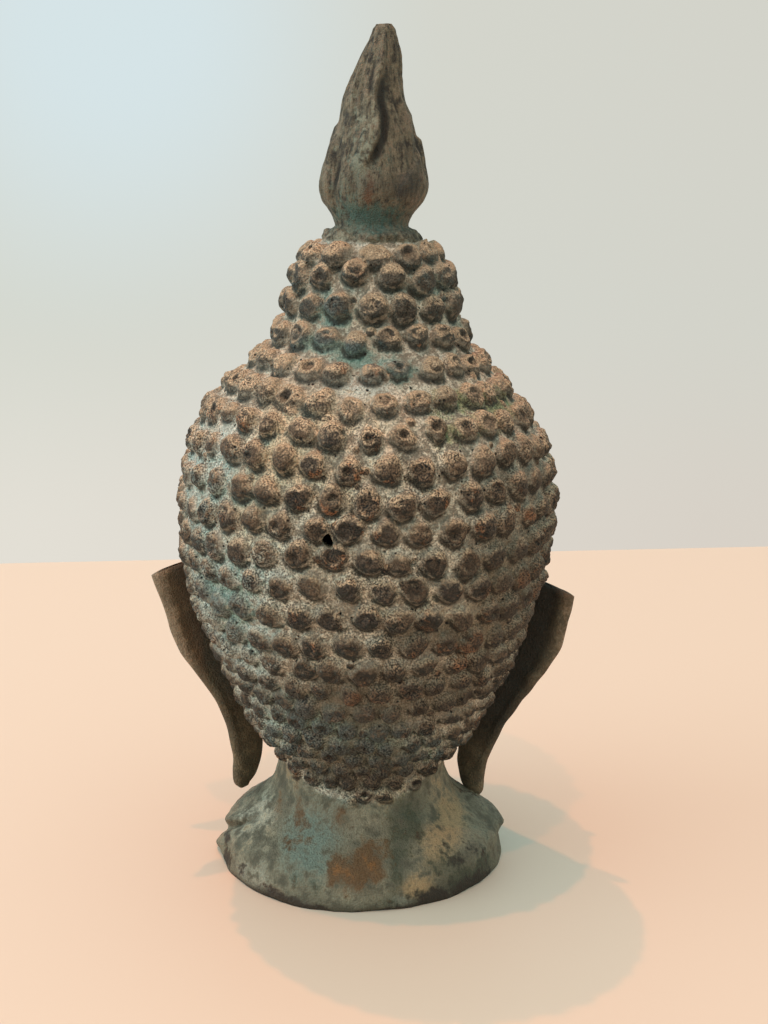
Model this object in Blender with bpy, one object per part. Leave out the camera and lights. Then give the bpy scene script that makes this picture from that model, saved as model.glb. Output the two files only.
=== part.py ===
"""A bronze Buddha head, one hollow casting: rows of curls, a flame finial, long ears and a flared foot.

Lengths are in metres. +Z is up, the face looks along -Y, and the head stands on the rim of its foot at
z = 0. Angles round the axis are measured from the front, and grow towards +X.
"""

import math

import bmesh
import bpy
import numpy as np
from mathutils import Matrix, Vector
from mathutils.geometry import delaunay_2d_cdt

MM = 0.001
TURN = 2 * math.pi

# The head and its foot
HEAD_HEIGHT = 222 * MM  # rim to the top of the crown of hair
HEAD_RADIUS = 63.2 * MM  # the widest part, without the curls
CROWN_RADIUS = 26.6 * MM  # the raised crown of hair, without the curls
NECK_RADIUS = 30.5 * MM
RIM_RADIUS = 51.7 * MM
WALL = 3.8 * MM

# The face
FACE_DEPTH = 64 * MM  # from the axis to the front of the face
NOSE_HEIGHT = 12 * MM
SOCKET_DEPTH = 4.8 * MM  # of the hollows round the eyes
CHIN_HEIGHT = 40 * MM  # of the chin's underside above the rim
FEATURES_TOP = 126 * MM
FEATURES_ANGLE = 0.70  # from the middle of the face to the outer ends of the brows
FEATURE_UNIT = HEAD_HEIGHT / 222  # of the features' places, a millimetre at this height

# The curls
CURL_PITCH = 11 * MM
CURL_HEIGHT = 2.7 * MM
CURL_TOP_SHARE = 0.30  # of the pitch, from a curl's middle to the corners of its top
CURL_CORNERS = 4
CURL_STRAY = 0.07  # of the pitch that a curl strays from its place in the row
TOP_ROW = 0.965  # of the head's height that the topmost row of curls stands at
TOP_MARGIN = 0.008  # of the head's height that a curl may stray above that row
HAIR_MARGIN = 0.40  # of the pitch, from the hairline to the nearest curl's middle
ROW_GAP = 0.86  # of the pitch, from one row to the next
ROUND_ROWS = math.sqrt(3) / 2  # of the step, between staggered rows of even triangles
SPREAD_STEPS = 30
SPREAD_SHARE = 0.22  # of what two curls lack to a pitch, that each step makes good
CURL_SEED = 5
PLAIN_SEED = 3

# How near the low points of the ground may stand to a curl and to each other, as shares of the pitch
GROUND_TO_CURL = 0.44
GROUND_TO_GROUND = 0.27
EDGE_RING = 0.56  # from a curl's middle to the ring of low points round it
BARE_TO_CURL = 0.75

# The flame finial
FLAME_HEIGHT = 68 * MM
FLAME_RADIUS = 16.4 * MM
FLAME_NECK_RADIUS = 12.6 * MM
FLAME_TIP_RADIUS = 3.6 * MM
COLLAR_RADIUS = 14.9 * MM
FLAME_LEAN = 2.4 * MM  # of the tip towards -X
TONGUE_DEPTH = 2.0 * MM

# The ears: how far out from the axis and how high the top corner and the lobe's tip stand
LEFT_EAR_OUT = 77.9 * MM
LEFT_EAR_TOP = 99.2 * MM
LEFT_LOBE_OUT = 47.6 * MM
LEFT_LOBE_LOW = 18.4 * MM
RIGHT_EAR_OUT = 75.1 * MM
RIGHT_EAR_TOP = 94.1 * MM
RIGHT_LOBE_OUT = 43.9 * MM
RIGHT_LOBE_LOW = 16.2 * MM
LEFT_LOBE_RADIUS = 42.5 * MM  # from the axis to the front edge of the hanging lobe
RIGHT_LOBE_RADIUS = 39.4 * MM
EAR_THICKNESS = 5 * MM
EAR_SINK = 2.5 * MM  # of the ear's root into the head
EAR_FORWARD = 8 * MM  # of the ear's back edge, in front of the axis
ROOT_ANGLE = math.radians(65)

# A hole that the casting left between two curls at the back
PINHOLE_DIAMETER = 3.2 * MM
PINHOLE_X = 12.5 * MM
PINHOLE_Z = 130 * MM

# How far apart the corners of the facets are
FOOT_STEP = 12 * MM
SKIN_STEP = 10.5 * MM
FACE_STEP = 4.9 * MM
FLAME_STEP = 5.2 * MM
CAVITY_SIDES = 18
CAVITY_RINGS = 14

BRONZE_COLOUR = (0.16, 0.12, 0.08, 1)
BRONZE_ROUGHNESS = 0.7
BRONZE_METALLIC = 0.6

# The side outline without the curls, as shares of the head's height and then of the flame's height
HEAD_OUTLINE = (
    (0.000, RIM_RADIUS),
    (0.020, RIM_RADIUS * 0.982),
    (0.045, RIM_RADIUS * 0.955),
    (0.059, RIM_RADIUS * 0.905),
    (0.072, RIM_RADIUS * 0.828),
    (0.090, NECK_RADIUS * 1.235),
    (0.108, NECK_RADIUS * 1.110),
    (0.135, NECK_RADIUS * 1.030),
    (0.162, NECK_RADIUS),
    (0.190, NECK_RADIUS * 1.080),
    (0.225, HEAD_RADIUS * 0.610),
    (0.279, HEAD_RADIUS * 0.702),
    (0.369, HEAD_RADIUS * 0.850),
    (0.468, HEAD_RADIUS * 0.962),
    (0.563, HEAD_RADIUS),
    (0.644, HEAD_RADIUS * 0.981),
    (0.721, HEAD_RADIUS * 0.902),
    (0.779, HEAD_RADIUS * 0.735),
    (0.824, CROWN_RADIUS * 1.360),
    (0.860, CROWN_RADIUS * 1.150),
    (0.919, CROWN_RADIUS),
    (0.964, CROWN_RADIUS * 0.870),
    (0.988, COLLAR_RADIUS * 1.170),
)
FLAME_OUTLINE = (
    (0.000, COLLAR_RADIUS * 1.12),
    (0.012, COLLAR_RADIUS * 1.09),
    (0.024, COLLAR_RADIUS * 0.98),
    (0.042, FLAME_NECK_RADIUS),
    (0.096, FLAME_NECK_RADIUS * 1.08),
    (0.165, FLAME_RADIUS * 0.97),
    (0.237, FLAME_RADIUS * 1.03),
    (0.380, FLAME_RADIUS * 0.91),
    (0.500, FLAME_RADIUS * 0.80),
    (0.560, FLAME_RADIUS * 0.73),
    (0.740, FLAME_RADIUS * 0.53),
    (0.880, FLAME_RADIUS * 0.37),
    (0.975, FLAME_TIP_RADIUS),
)
OUTLINE = tuple((share * HEAD_HEIGHT, radius) for share, radius in HEAD_OUTLINE) + tuple(
    (HEAD_HEIGHT + share * FLAME_HEIGHT, radius) for share, radius in FLAME_OUTLINE
)

# The front of the face, from under the chin to the hair, as shares of its depth
FACE_OUTLINE = (
    (0.160, 0.45),
    (0.182, 0.80),
    (0.205, 0.92),
    (0.250, 0.965),
    (0.340, 0.990),
    (0.430, 1.000),
    (0.530, 0.995),
    (0.620, 0.965),
    (0.700, 0.915),
    (0.800, 0.600),
)

# The hair's lower edge, from the forehead round to the nape: degrees, and shares of the head's height
HAIRLINE = (
    (0, 0.690),
    (30, 0.672),
    (55, 0.600),
    (74, 0.480),
    (88, 0.300),
    (98, 0.190),
    (130, 0.160),
    (150, 0.142),
    (180, 0.130),
)

# The curls' pitch: shares of the head's height, and shares of the widest pitch
PITCHES = ((0.14, 0.66), (0.22, 0.76), (0.34, 0.90), (0.45, 1.0), (0.74, 1.0), (0.86, 1.06), (1.0, 1.10))

# Where the casting departs from round: how far, at which angle in degrees and share of the head's height,
# and how wide in degrees and how tall as a share of that height
SWELLS = (
    (3.0 * MM, 155, 0.000, 35, 0.040),  # the rim of the foot, behind on the left
    (3.2 * MM, -86, 0.063, 17, 0.027),  # the foot's shoulder, under the right ear
    (-1.4 * MM, -97, 0.145, 28, 0.040),  # the right side of the neck
    (-1.6 * MM, -98, 0.450, 35, 0.080),  # the hair behind the right ear
    (-2.4 * MM, -98, 0.760, 40, 0.065),  # the hair above it
)

# The ears' back edges: shares of the height, and shares of the way out from the lobe's tip to the top corner
LEFT_EAR_EDGE = (
    (0, 0),
    (0.12, 0.01),
    (0.28, 0.09),
    (0.40, 0.21),
    (0.56, 0.50),
    (0.65, 0.67),
    (0.75, 0.78),
    (0.91, 0.91),
    (1, 1),
)
RIGHT_EAR_EDGE = (
    (0, 0),
    (0.12, 0.02),
    (0.285, 0.155),
    (0.43, 0.34),
    (0.56, 0.61),
    (0.665, 0.75),
    (0.755, 0.885),
    (0.87, 0.93),
    (1, 1),
)
# How much of its full width and thickness an ear has at each share of its height
EAR_SECTIONS = (
    (0.00, 0.40, 0.50),
    (0.045, 0.74, 0.90),
    (0.10, 0.93, 1.00),
    (0.18, 1.00, 1.00),
    (0.32, 1.00, 1.00),
    (0.43, 1.00, 1.00),
    (0.54, 1.00, 1.00),
    (0.66, 1.00, 1.00),
    (0.78, 1.00, 1.00),
    (0.90, 1.00, 1.00),
    (1.00, 1.00, 0.80),
)


def eased(x, low, high):
    """0 below low and 1 above high, with a smooth rise between."""
    t = np.clip((np.asarray(x, dtype=float) - low) / (high - low), 0, 1)
    return t * t * (3 - 2 * t)


def bump(x, centre, width):
    """A bell of height 1."""
    return np.exp(-(((np.asarray(x, dtype=float) - centre) / width) ** 2))


def smooth_curve(points, x):
    """The value at x of a curve through the points that doesn't overshoot them."""
    knots, values = (np.array(column, dtype=float) for column in zip(*points))
    run = np.diff(knots)
    slope = np.diff(values) / run
    before, after = np.insert(slope, 0, slope[0]), np.append(slope, slope[-1])
    tangent = np.where(before * after > 0, (before + after) / 2, 0)
    limit = 3 * np.minimum(np.abs(before), np.abs(after))
    tangent = np.clip(tangent, -limit, limit)
    x = np.clip(x, knots[0], knots[-1])
    k = np.clip(np.searchsorted(knots, x, side="right") - 1, 0, len(run) - 1)
    t = (x - knots[k]) / run[k]
    level = values[k] * (1 + 2 * t) * (1 - t) ** 2 + values[k + 1] * t * t * (3 - 2 * t)
    return level + run[k] * t * (1 - t) * (tangent[k] * (1 - t) - tangent[k + 1] * t)


def turned(angle):
    """The angle brought between half a turn back and half a turn on."""
    return (np.asarray(angle) + math.pi) % TURN - math.pi


# A point of the skin is an angle and a reach. The reach is the distance run up the outline, each step of
# it divided by the radius there, so that a small square in angle and reach is a square on the skin too.
HEIGHTS = np.linspace(0, OUTLINE[-1][0], 4000)
RADII = smooth_curve(OUTLINE, HEIGHTS)
LEANS = np.arctan(np.gradient(RADII, HEIGHTS))
RUNS = np.hypot(np.diff(HEIGHTS), np.diff(RADII))
REACHES = np.concatenate(([0], np.cumsum(2 * RUNS / (RADII[:-1] + RADII[1:]))))


def reach_at(z):
    return np.interp(z, HEIGHTS, REACHES)


def height_at(reach):
    return np.interp(reach, REACHES, HEIGHTS)


def outline_radius(z):
    return np.interp(z, HEIGHTS, RADII)


def plain_radius(angle, z):
    """The radius of the head without curls or features: round behind, and deeper at the face."""
    side = outline_radius(z)
    depth = FACE_DEPTH * smooth_curve(FACE_OUTLINE, z / HEAD_HEIGHT)
    in_face = (z > FACE_OUTLINE[0][0] * HEAD_HEIGHT) & (z < FACE_OUTLINE[-1][0] * HEAD_HEIGHT)
    front = np.where(in_face, np.maximum(depth, side), side)
    along = np.maximum(np.cos(angle), 0)
    across = np.sqrt(1 - along**2)
    return 1 / np.sqrt((along / front) ** 2 + (across / side) ** 2)


def casting_relief(angle, z):
    """How far the casting stands out of the round, inside and out."""
    relief = np.zeros_like(angle)
    for amount, degrees, height, width, rise in SWELLS:
        off = turned(angle - math.radians(degrees))
        at_height = bump(z, height * HEAD_HEIGHT, rise * HEAD_HEIGHT)
        relief += amount * bump(off, 0, math.radians(width)) * at_height
    return relief


def face_relief(angle, z):
    """How far the features of a calm, plain face stand out of the head."""
    x = np.abs(plain_radius(angle, z) * np.sin(angle)) / FEATURE_UNIT
    z = (z - CHIN_HEIGHT) / FEATURE_UNIT

    ridge = smooth_curve(((34, 0), (36.5, 0.66), (40.5, 1), (46, 0.92), (60, 0.61), (70, 0.39), (78, 0.21), (92, 0)), z)
    ridge_width = smooth_curve(((36, 6.4), (41, 6.6), (50, 5.2), (64, 4.6), (76, 5.4), (92, 10)), z)
    nose = NOSE_HEIGHT * ridge * np.exp(-np.abs(x / ridge_width) ** 2.1)
    nostrils = 3.0 * bump(x, 8, 3.4) * bump(z, 39, 4)

    brow_line = smooth_curve(((0, 60), (5.5, 66), (9, 73), (16, 78.2), (25, 80), (34, 78.2), (43, 72.5), (50, 66)), x)
    brows = 1.2 * bump(z, brow_line + 1, 2) * eased(x, 5, 10) * eased(-x, -46, -32)
    sockets = eased(brow_line - z, -1, 7) * eased(z, 42, 60) * eased(x, 3.5, 11) * eased(-x, -44, -29)
    lids = 6.8 * np.clip(1 - ((x - 22.5) / 15.5) ** 2 - ((z - 60) / 10) ** 2, 0, 1)

    cheeks = 3.2 * bump(x, 29, 15) * bump(z, 38, 17)
    mouth_line = 24.8 + 0.012 * x**2
    muzzle = 2.8 * bump(x, 0, 17) * bump(z, 26, 11)
    upper_lip = 2.2 * bump(z, mouth_line + 2.6, 2.2) * eased(-x, -16.5, -7)
    lower_lip = 2.6 * bump(z, mouth_line - 3.0, 2.6) * eased(-x, -16, -6)
    chin = 5.4 * bump(x, 0, 13) * bump(z, 8, 8) - 1.6 * bump(x, 0, 12) * bump(z, 16.6, 2.6)

    features = nostrils + brows + lids + cheeks + muzzle + upper_lip + lower_lip + chin
    relief = nose - SOCKET_DEPTH * sockets + features * FEATURE_UNIT
    return np.where(np.cos(angle) > 0, relief, 0) * eased(z, -4, 3)


def flame_relief(angle, z):
    """The flame's flutes, its crest at the back and the tongue on each side."""
    share = (z - HEAD_HEIGHT) / FLAME_HEIGHT
    body = eased(share, 0.05, 0.20) * (1 - 0.6 * eased(share, 0.6, 1.0))
    flutes = 0.045 * FLAME_RADIUS * np.cos(6 * angle + 2.5 * share)
    crest_at = math.pi - 0.30 * np.sin(TURN * (share - 0.25))
    crest = 0.13 * FLAME_RADIUS * bump(turned(angle - crest_at), 0, 0.35)
    tongue = TONGUE_DEPTH * np.abs(np.sin(angle)) ** 3
    tongue = tongue * eased(share, 0.12, 0.26) * (1 - eased(share, 0.40, 0.47))
    return (flutes + crest) * body + tongue


def hairline(angle):
    """The height of the hair's lower edge."""
    points = tuple((math.radians(degrees), share) for degrees, share in HAIRLINE)
    return HEAD_HEIGHT * smooth_curve(points, np.abs(turned(angle)))


def curl_pitch(z):
    return CURL_PITCH * smooth_curve(PITCHES, z / HEAD_HEIGHT)


def in_hair(places):
    """Whether a curl's middle can stand at each place, between the hairline and the collar."""
    z = height_at(places[:, 1])
    low = hairline(places[:, 0]) + HAIR_MARGIN * curl_pitch(z)
    return (z > low) & (z < (TOP_ROW + TOP_MARGIN) * HEAD_HEIGHT)


def curl_places():
    """Staggered rows of curls over the hair, spread until they stand a pitch apart."""
    rng = np.random.RandomState(CURL_SEED)
    rows = []
    reach = reach_at(TOP_ROW * HEAD_HEIGHT)
    while reach > reach_at(HAIRLINE[-1][1] * HEAD_HEIGHT):
        z = height_at(reach)
        pitch = curl_pitch(z) / outline_radius(z)
        count = max(5, round(TURN / pitch))
        stray = rng.uniform(-1, 1, (count, 2)) * CURL_STRAY * pitch
        angles = TURN * (np.arange(count) + len(rows) % 2 / 2) / count - math.pi
        rows.append(np.column_stack([angles, np.full(count, reach)]) + stray)
        reach -= ROW_GAP * pitch
    places = np.concatenate(rows)
    places = places[in_hair(places)]
    for _ in range(SPREAD_STEPS):
        z = height_at(places[:, 1])
        pitch = curl_pitch(z) / outline_radius(z)
        gap = places[:, None, :] - places[None, :, :]
        gap[:, :, 0] = turned(gap[:, :, 0])
        apart = np.hypot(gap[:, :, 0], gap[:, :, 1])
        np.fill_diagonal(apart, TURN)
        short = np.clip(pitch[:, None] - apart, 0, None)
        push = SPREAD_SHARE * (gap / apart[:, :, None] * short[:, :, None]).sum(axis=1)
        free = in_hair(places + push)
        places[free] += push[free]
    return places


def skin_points(places, lift, features=True):
    """The points of the skin at angles and reaches, lifted square to the outline."""
    angle, reach = places[:, 0], places[:, 1]
    z = height_at(reach)
    radius = plain_radius(angle, z) + casting_relief(angle, z)
    if features:
        radius = radius + face_relief(angle, z) + flame_relief(angle, z)
    lean = np.interp(z, HEIGHTS, LEANS)
    out = radius + lift * np.cos(lean)
    side = FLAME_LEAN * np.clip((z - HEAD_HEIGHT) / FLAME_HEIGHT, 0, 1) ** 4
    return np.column_stack([out * np.sin(angle) - side, -out * np.cos(angle), z - lift * np.sin(lean)])


def triangles_round(places):
    """Delaunay triangles of places in angle and reach, closed round the axis."""
    flat, owners = [], []
    for turns in (-1, 0, 1):
        copy = places + [turns * TURN, 0]
        near = np.abs(copy[:, 0]) < 1.6 * math.pi
        flat.extend(Vector(place) for place in copy[near])
        owners.extend(np.flatnonzero(near))
    corners, _, faces, sources, _, _ = delaunay_2d_cdt(flat, [], [], 0, 1e-9)
    kept = []
    for face in faces:
        middle = sum(corners[corner].x for corner in face) / 3
        if -math.pi <= middle < math.pi:
            kept.append([owners[sources[corner][0]] for corner in face])
    return kept


def row_places(low, high, step, wanted):
    """Staggered rows of plain points between two heights, where wanted says so."""
    rng = np.random.RandomState(PLAIN_SEED)
    rows = []
    reach = reach_at(low)
    while reach <= reach_at(high) + 1e-9:
        count = max(6, round(TURN * outline_radius(height_at(reach)) / step))
        stray = rng.uniform(-0.04, 0.04, count)
        angles = TURN * (np.arange(count) + len(rows) % 2 / 2 + stray) / count - math.pi
        rows.append(np.column_stack([angles, np.full(count, reach)]))
        reach += ROUND_ROWS * TURN / count
    places = np.concatenate(rows)
    return places[wanted(places[:, 0], height_at(places[:, 1]))]


def face_places():
    """Staggered rows of points over the features, alike on both sides of the nose."""
    rows = []
    reach = reach_at(CHIN_HEIGHT)
    while height_at(reach) < FEATURES_TOP:
        z = height_at(reach)
        spread = FACE_STEP / plain_radius(0.0, z)
        one_side = np.arange(1 + len(rows) % 2 / 2, FEATURES_ANGLE / spread)
        angles = spread * np.concatenate([-one_side[::-1], [0], one_side])
        rows.append(np.column_stack([angles, np.full(len(angles), reach)]))
        reach += ROUND_ROWS * FACE_STEP / outline_radius(z)
    return np.concatenate(rows)


def clear_of(place, others, share):
    """Whether a place stands clear of the others by a share of the curls' pitch."""
    if not len(others):
        return True
    gap = np.asarray(others) - place
    z = height_at(place[1])
    apart = np.hypot(turned(gap[:, 0]), gap[:, 1]) * outline_radius(z)
    return apart.min() > share * curl_pitch(z)


def ground_places(curls):
    """Low points round the curls: between each three, between each two, and round those at the edge."""
    places = []
    for face in triangles_round(curls):
        corners = curls[face]
        corners[:, 0] = corners[0, 0] + turned(corners[:, 0] - corners[0, 0])
        z = height_at(corners[:, 1].mean())
        pitch = curl_pitch(z) / outline_radius(z)
        sides = np.hypot(*(corners - np.roll(corners, 1, axis=0)).T)
        if sides.max() < 1.55 * pitch:
            places.append(corners.mean(axis=0))
        for k in range(3):
            if sides[k] < 1.45 * pitch:
                places.append((corners[k] + corners[k - 1]) / 2)
    for curl in curls:
        z = height_at(curl[1])
        ring = EDGE_RING * curl_pitch(z) / outline_radius(z)
        for k in range(8):
            turn = TURN * k / 8
            places.append(curl + [ring * math.cos(turn), ring * math.sin(turn)])
    kept = []
    for place in places:
        if clear_of(place, curls, GROUND_TO_CURL) and clear_of(place, kept, GROUND_TO_GROUND):
            kept.append(place)
    return kept


def curl_tops(curls):
    """The corners of each curl's top, slightly out of round, and how high they stand."""
    rng = np.random.RandomState(CURL_SEED)
    corners, lifts = [], []
    for curl in curls:
        z = height_at(curl[1])
        top_radius = CURL_TOP_SHARE * curl_pitch(z) / outline_radius(z)
        first = rng.uniform(0, TURN)
        for k in range(CURL_CORNERS):
            turn = first + TURN * k / CURL_CORNERS
            ring = top_radius * rng.uniform(0.94, 1.06)
            corners.append(curl + [ring * math.cos(turn), ring * math.sin(turn)])
            lifts.append(CURL_HEIGHT * curl_pitch(z) / CURL_PITCH)
    return corners, lifts


def bare_places(curls):
    """Points of the foot, the neck, the face and the flame."""

    def plain_skin(angle, z):
        in_features = (np.abs(angle) < FEATURES_ANGLE) & (z > CHIN_HEIGHT) & (z < FEATURES_TOP)
        return (z < hairline(angle)) & ~in_features

    def everywhere(angle, z):
        return np.full(len(angle), True)

    skin = np.concatenate(
        [
            row_places(0, 0.105 * HEAD_HEIGHT, FOOT_STEP, everywhere),
            row_places(0.145 * HEAD_HEIGHT, HAIRLINE[0][1] * HEAD_HEIGHT, SKIN_STEP, plain_skin),
            face_places(),
        ]
    )
    skin = [place for place in skin if clear_of(place, curls, BARE_TO_CURL)]
    return skin + list(row_places(0.992 * HEAD_HEIGHT, OUTLINE[-1][0], FLAME_STEP, everywhere))


def object_from(bm, name):
    """An object in the scene with the mesh's faces turned outwards."""
    bmesh.ops.recalc_face_normals(bm, faces=bm.faces)
    mesh = bpy.data.meshes.new(name)
    bm.to_mesh(mesh)
    bm.free()
    piece = bpy.data.objects.new(name, mesh)
    bpy.context.collection.objects.link(piece)
    return piece


def add_skin():
    """The outside of the head as one closed body, with the curls standing on it."""
    curls = curl_places()
    tops, lifts = curl_tops(curls)
    low = ground_places(curls) + bare_places(curls)
    places = np.array(tops + low)
    points = skin_points(places, np.array(lifts + [0.0] * len(low)))
    bm = bmesh.new()
    corners = [bm.verts.new(point) for point in points]
    for face in triangles_round(places):
        bm.faces.new([corners[k] for k in face])
    caps = bmesh.ops.holes_fill(bm, edges=[edge for edge in bm.edges if edge.is_boundary])["faces"]
    top = max(caps, key=lambda face: face.calc_center_median().z)
    tip = bmesh.ops.poke(bm, faces=[top])["verts"][0]
    tip.co.z = HEAD_HEIGHT + FLAME_HEIGHT
    return object_from(bm, "buddha_head")


def loft(rings, name):
    """A closed body through rings of points, with a flat face on each end."""
    bm = bmesh.new()
    loops = [[bm.verts.new(point) for point in ring] for ring in rings]
    for low, high in zip(loops, loops[1:]):
        for k in range(len(low)):
            bm.faces.new([low[k - 1], low[k], high[k], high[k - 1]])
    bm.faces.new(loops[0])
    bm.faces.new(loops[-1])
    return object_from(bm, name)


def add_cavity():
    """The hollow inside, a wall's thickness within the skin and open at the foot."""
    top = reach_at(HEAD_HEIGHT - 2.5 * WALL)
    angles = TURN * np.arange(CAVITY_SIDES) / CAVITY_SIDES
    rings = []
    for reach in np.linspace(0, top, CAVITY_RINGS):
        z = height_at(reach)
        at_eyes = eased(z, CHIN_HEIGHT, 1.5 * CHIN_HEIGHT) * (1 - eased(z, FEATURES_TOP, 1.2 * FEATURES_TOP))
        depth = WALL + SOCKET_DEPTH * eased(np.cos(angles), 0.4, 0.8) * at_eyes
        places = np.column_stack([angles, np.full(CAVITY_SIDES, reach)])
        rings.append(skin_points(places, -depth, features=False))
    mouth = rings[0] * [1, 1, 0]
    return loft([mouth - [0, 0, 2 * WALL], mouth] + rings[1:], "cavity")


def add_ear(side, top, tip, edge, lobe_radius):
    """A flaring plate with a thick back edge and a lobe that hangs down, on the +X or -X side."""
    top, tip = np.array(top), np.array(tip)
    rings = []
    for share, width, thickness in EAR_SECTIONS:
        z = tip[1] + (top[1] - tip[1]) * share
        out = tip[0] + (top[0] - tip[0]) * smooth_curve(edge, share)
        back = Vector((out, -EAR_FORWARD))
        on_head = float(plain_radius(ROOT_ANGLE, z)) - EAR_SINK
        root = lobe_radius + (on_head - lobe_radius) * float(eased(share, 0.36, 0.48))
        front = Vector((root * math.sin(ROOT_ANGLE), -root * math.cos(ROOT_ANGLE)))
        along = (back - front) / 2 * width
        across = Vector((-along.y, along.x)).normalized() * EAR_THICKNESS / 2 * thickness
        ring = []
        for run, depth in ((1, 0.35), (0.8, 1), (0.1, 0.7), (-0.85, 0.9), (-1, 0.3)):
            ring.append((run, depth))
        ring += [(run, -depth) for run, depth in reversed(ring)]
        rise = 0.08 * (top[1] - tip[1]) * share
        points = []
        for run, depth in ring:
            point = back - along * (1 - run) + across * depth
            points.append((side * point.x, point.y, z + rise * (1 - run) / 2))
        rings.append(points)
    return loft(rings, "ear")


def add_pinhole():
    """A short bar through the wall at the back."""
    outside = 1.2 * HEAD_RADIUS
    inside = 0.6 * HEAD_RADIUS
    bpy.ops.mesh.primitive_cylinder_add(
        vertices=8,
        radius=PINHOLE_DIAMETER / 2,
        depth=outside - inside,
        location=(PINHOLE_X, (outside + inside) / 2, PINHOLE_Z),
        rotation=(math.pi / 2, 0, 0),
    )
    return bpy.context.object


def combine(body, other, operation):
    """Joins the other body to this one, or cuts it out of it."""
    boolean = body.modifiers.new(other.name, "BOOLEAN")
    boolean.operation = operation
    boolean.object = other
    finished = bpy.data.meshes.new_from_object(body.evaluated_get(bpy.context.evaluated_depsgraph_get()))
    body.modifiers.clear()
    body.data = finished
    bpy.data.objects.remove(other)


def stand_on_centre(body):
    """Moves the body so that the middle of its box is over the origin."""
    xyz = np.array([vertex.co for vertex in body.data.vertices])
    middle = (xyz.min(axis=0) + xyz.max(axis=0)) / 2
    body.data.transform(Matrix.Translation((-middle[0], -middle[1], 0)))


def bronze():
    """Old bronze, dark brown under a dull green skin."""
    material = bpy.data.materials.new("patinated_bronze")
    material.use_nodes = True
    shader = material.node_tree.nodes["Principled BSDF"]
    shader.inputs["Base Color"].default_value = BRONZE_COLOUR
    shader.inputs["Roughness"].default_value = BRONZE_ROUGHNESS
    shader.inputs["Metallic"].default_value = BRONZE_METALLIC
    return material


def main():
    for old in list(bpy.data.objects):
        bpy.data.objects.remove(old)
    head = add_skin()
    left_top, left_tip = (LEFT_EAR_OUT, LEFT_EAR_TOP), (LEFT_LOBE_OUT, LEFT_LOBE_LOW)
    right_top, right_tip = (RIGHT_EAR_OUT, RIGHT_EAR_TOP), (RIGHT_LOBE_OUT, RIGHT_LOBE_LOW)
    combine(head, add_ear(1, left_top, left_tip, LEFT_EAR_EDGE, LEFT_LOBE_RADIUS), "UNION")
    combine(head, add_ear(-1, right_top, right_tip, RIGHT_EAR_EDGE, RIGHT_LOBE_RADIUS), "UNION")
    combine(head, add_cavity(), "DIFFERENCE")
    combine(head, add_pinhole(), "DIFFERENCE")
    stand_on_centre(head)
    head.data.name = head.name
    head.data.materials.append(bronze())


main()
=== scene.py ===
"""An old bronze Buddha head on a pale table, seen from behind: rows of curls, a flame finial, long ears.

Lengths are in metres and +Z is up. The face looks along -Y. Angles round the axis are measured from the
front, and grow towards +X, which is the left of the picture.
"""

import math

import bpy
import numpy as np
from mathutils import Matrix, Vector
from mathutils.kdtree import KDTree


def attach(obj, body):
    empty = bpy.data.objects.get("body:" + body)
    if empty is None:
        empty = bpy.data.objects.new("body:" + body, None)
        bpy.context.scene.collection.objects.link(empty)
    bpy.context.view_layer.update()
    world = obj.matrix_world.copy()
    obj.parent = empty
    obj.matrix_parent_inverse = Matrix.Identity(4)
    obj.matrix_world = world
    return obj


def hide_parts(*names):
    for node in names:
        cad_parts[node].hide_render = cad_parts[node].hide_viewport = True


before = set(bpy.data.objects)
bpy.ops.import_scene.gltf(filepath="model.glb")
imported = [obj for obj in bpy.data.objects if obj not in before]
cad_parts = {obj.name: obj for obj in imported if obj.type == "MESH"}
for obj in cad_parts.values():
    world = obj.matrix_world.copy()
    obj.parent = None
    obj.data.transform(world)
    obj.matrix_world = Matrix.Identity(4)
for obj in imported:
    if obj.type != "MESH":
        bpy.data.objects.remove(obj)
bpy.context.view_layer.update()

MM = 0.001
TURN = 2 * math.pi
AXIS = Vector((-1.4 * MM, 5.03 * MM, 0))  # where the solid's axis stands

# The same form as the solid: heights above the rim, and radii without the curls
HEAD_HEIGHT = 222 * MM
HEAD_RADIUS = 63.2 * MM
CROWN_RADIUS = 26.6 * MM
NECK_RADIUS = 30.5 * MM
RIM_RADIUS = 51.7 * MM
WALL = 3.8 * MM
FACE_DEPTH = 64 * MM
CHIN_HEIGHT = 40 * MM
FEATURES_TOP = 126 * MM
SOCKET_DEPTH = 4.8 * MM
FACE_UNITS = 222  # the head's height in the units that the face's numbers are in
FLAME_HEIGHT = 68 * MM
FLAME_RADIUS = 16.4 * MM
FLAME_NECK_RADIUS = 12.6 * MM
FLAME_TIP_RADIUS = 3.6 * MM
COLLAR_RADIUS = 14.9 * MM
CURL_PITCH = 11 * MM
CURL_HEIGHT = 3.4 * MM
CURL_HOLLOW = 1.0 * MM
CURL_STRAY = 0.07
TOP_ROW = 0.965
TOP_MARGIN = 0.008
HAIR_MARGIN = 0.40
ROW_GAP = 0.86
SPREAD_STEPS = 30
SPREAD_SHARE = 0.22
CURL_SEED = 5

# How finely the skin is divided before it is thinned
ROW_STEP = 0.62 * MM
BACK_STEP = 0.62 * MM
FRONT_STEP = 0.95 * MM
INNER_STEP = 5 * MM
HEAD_TRIANGLES = 176000

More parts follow.
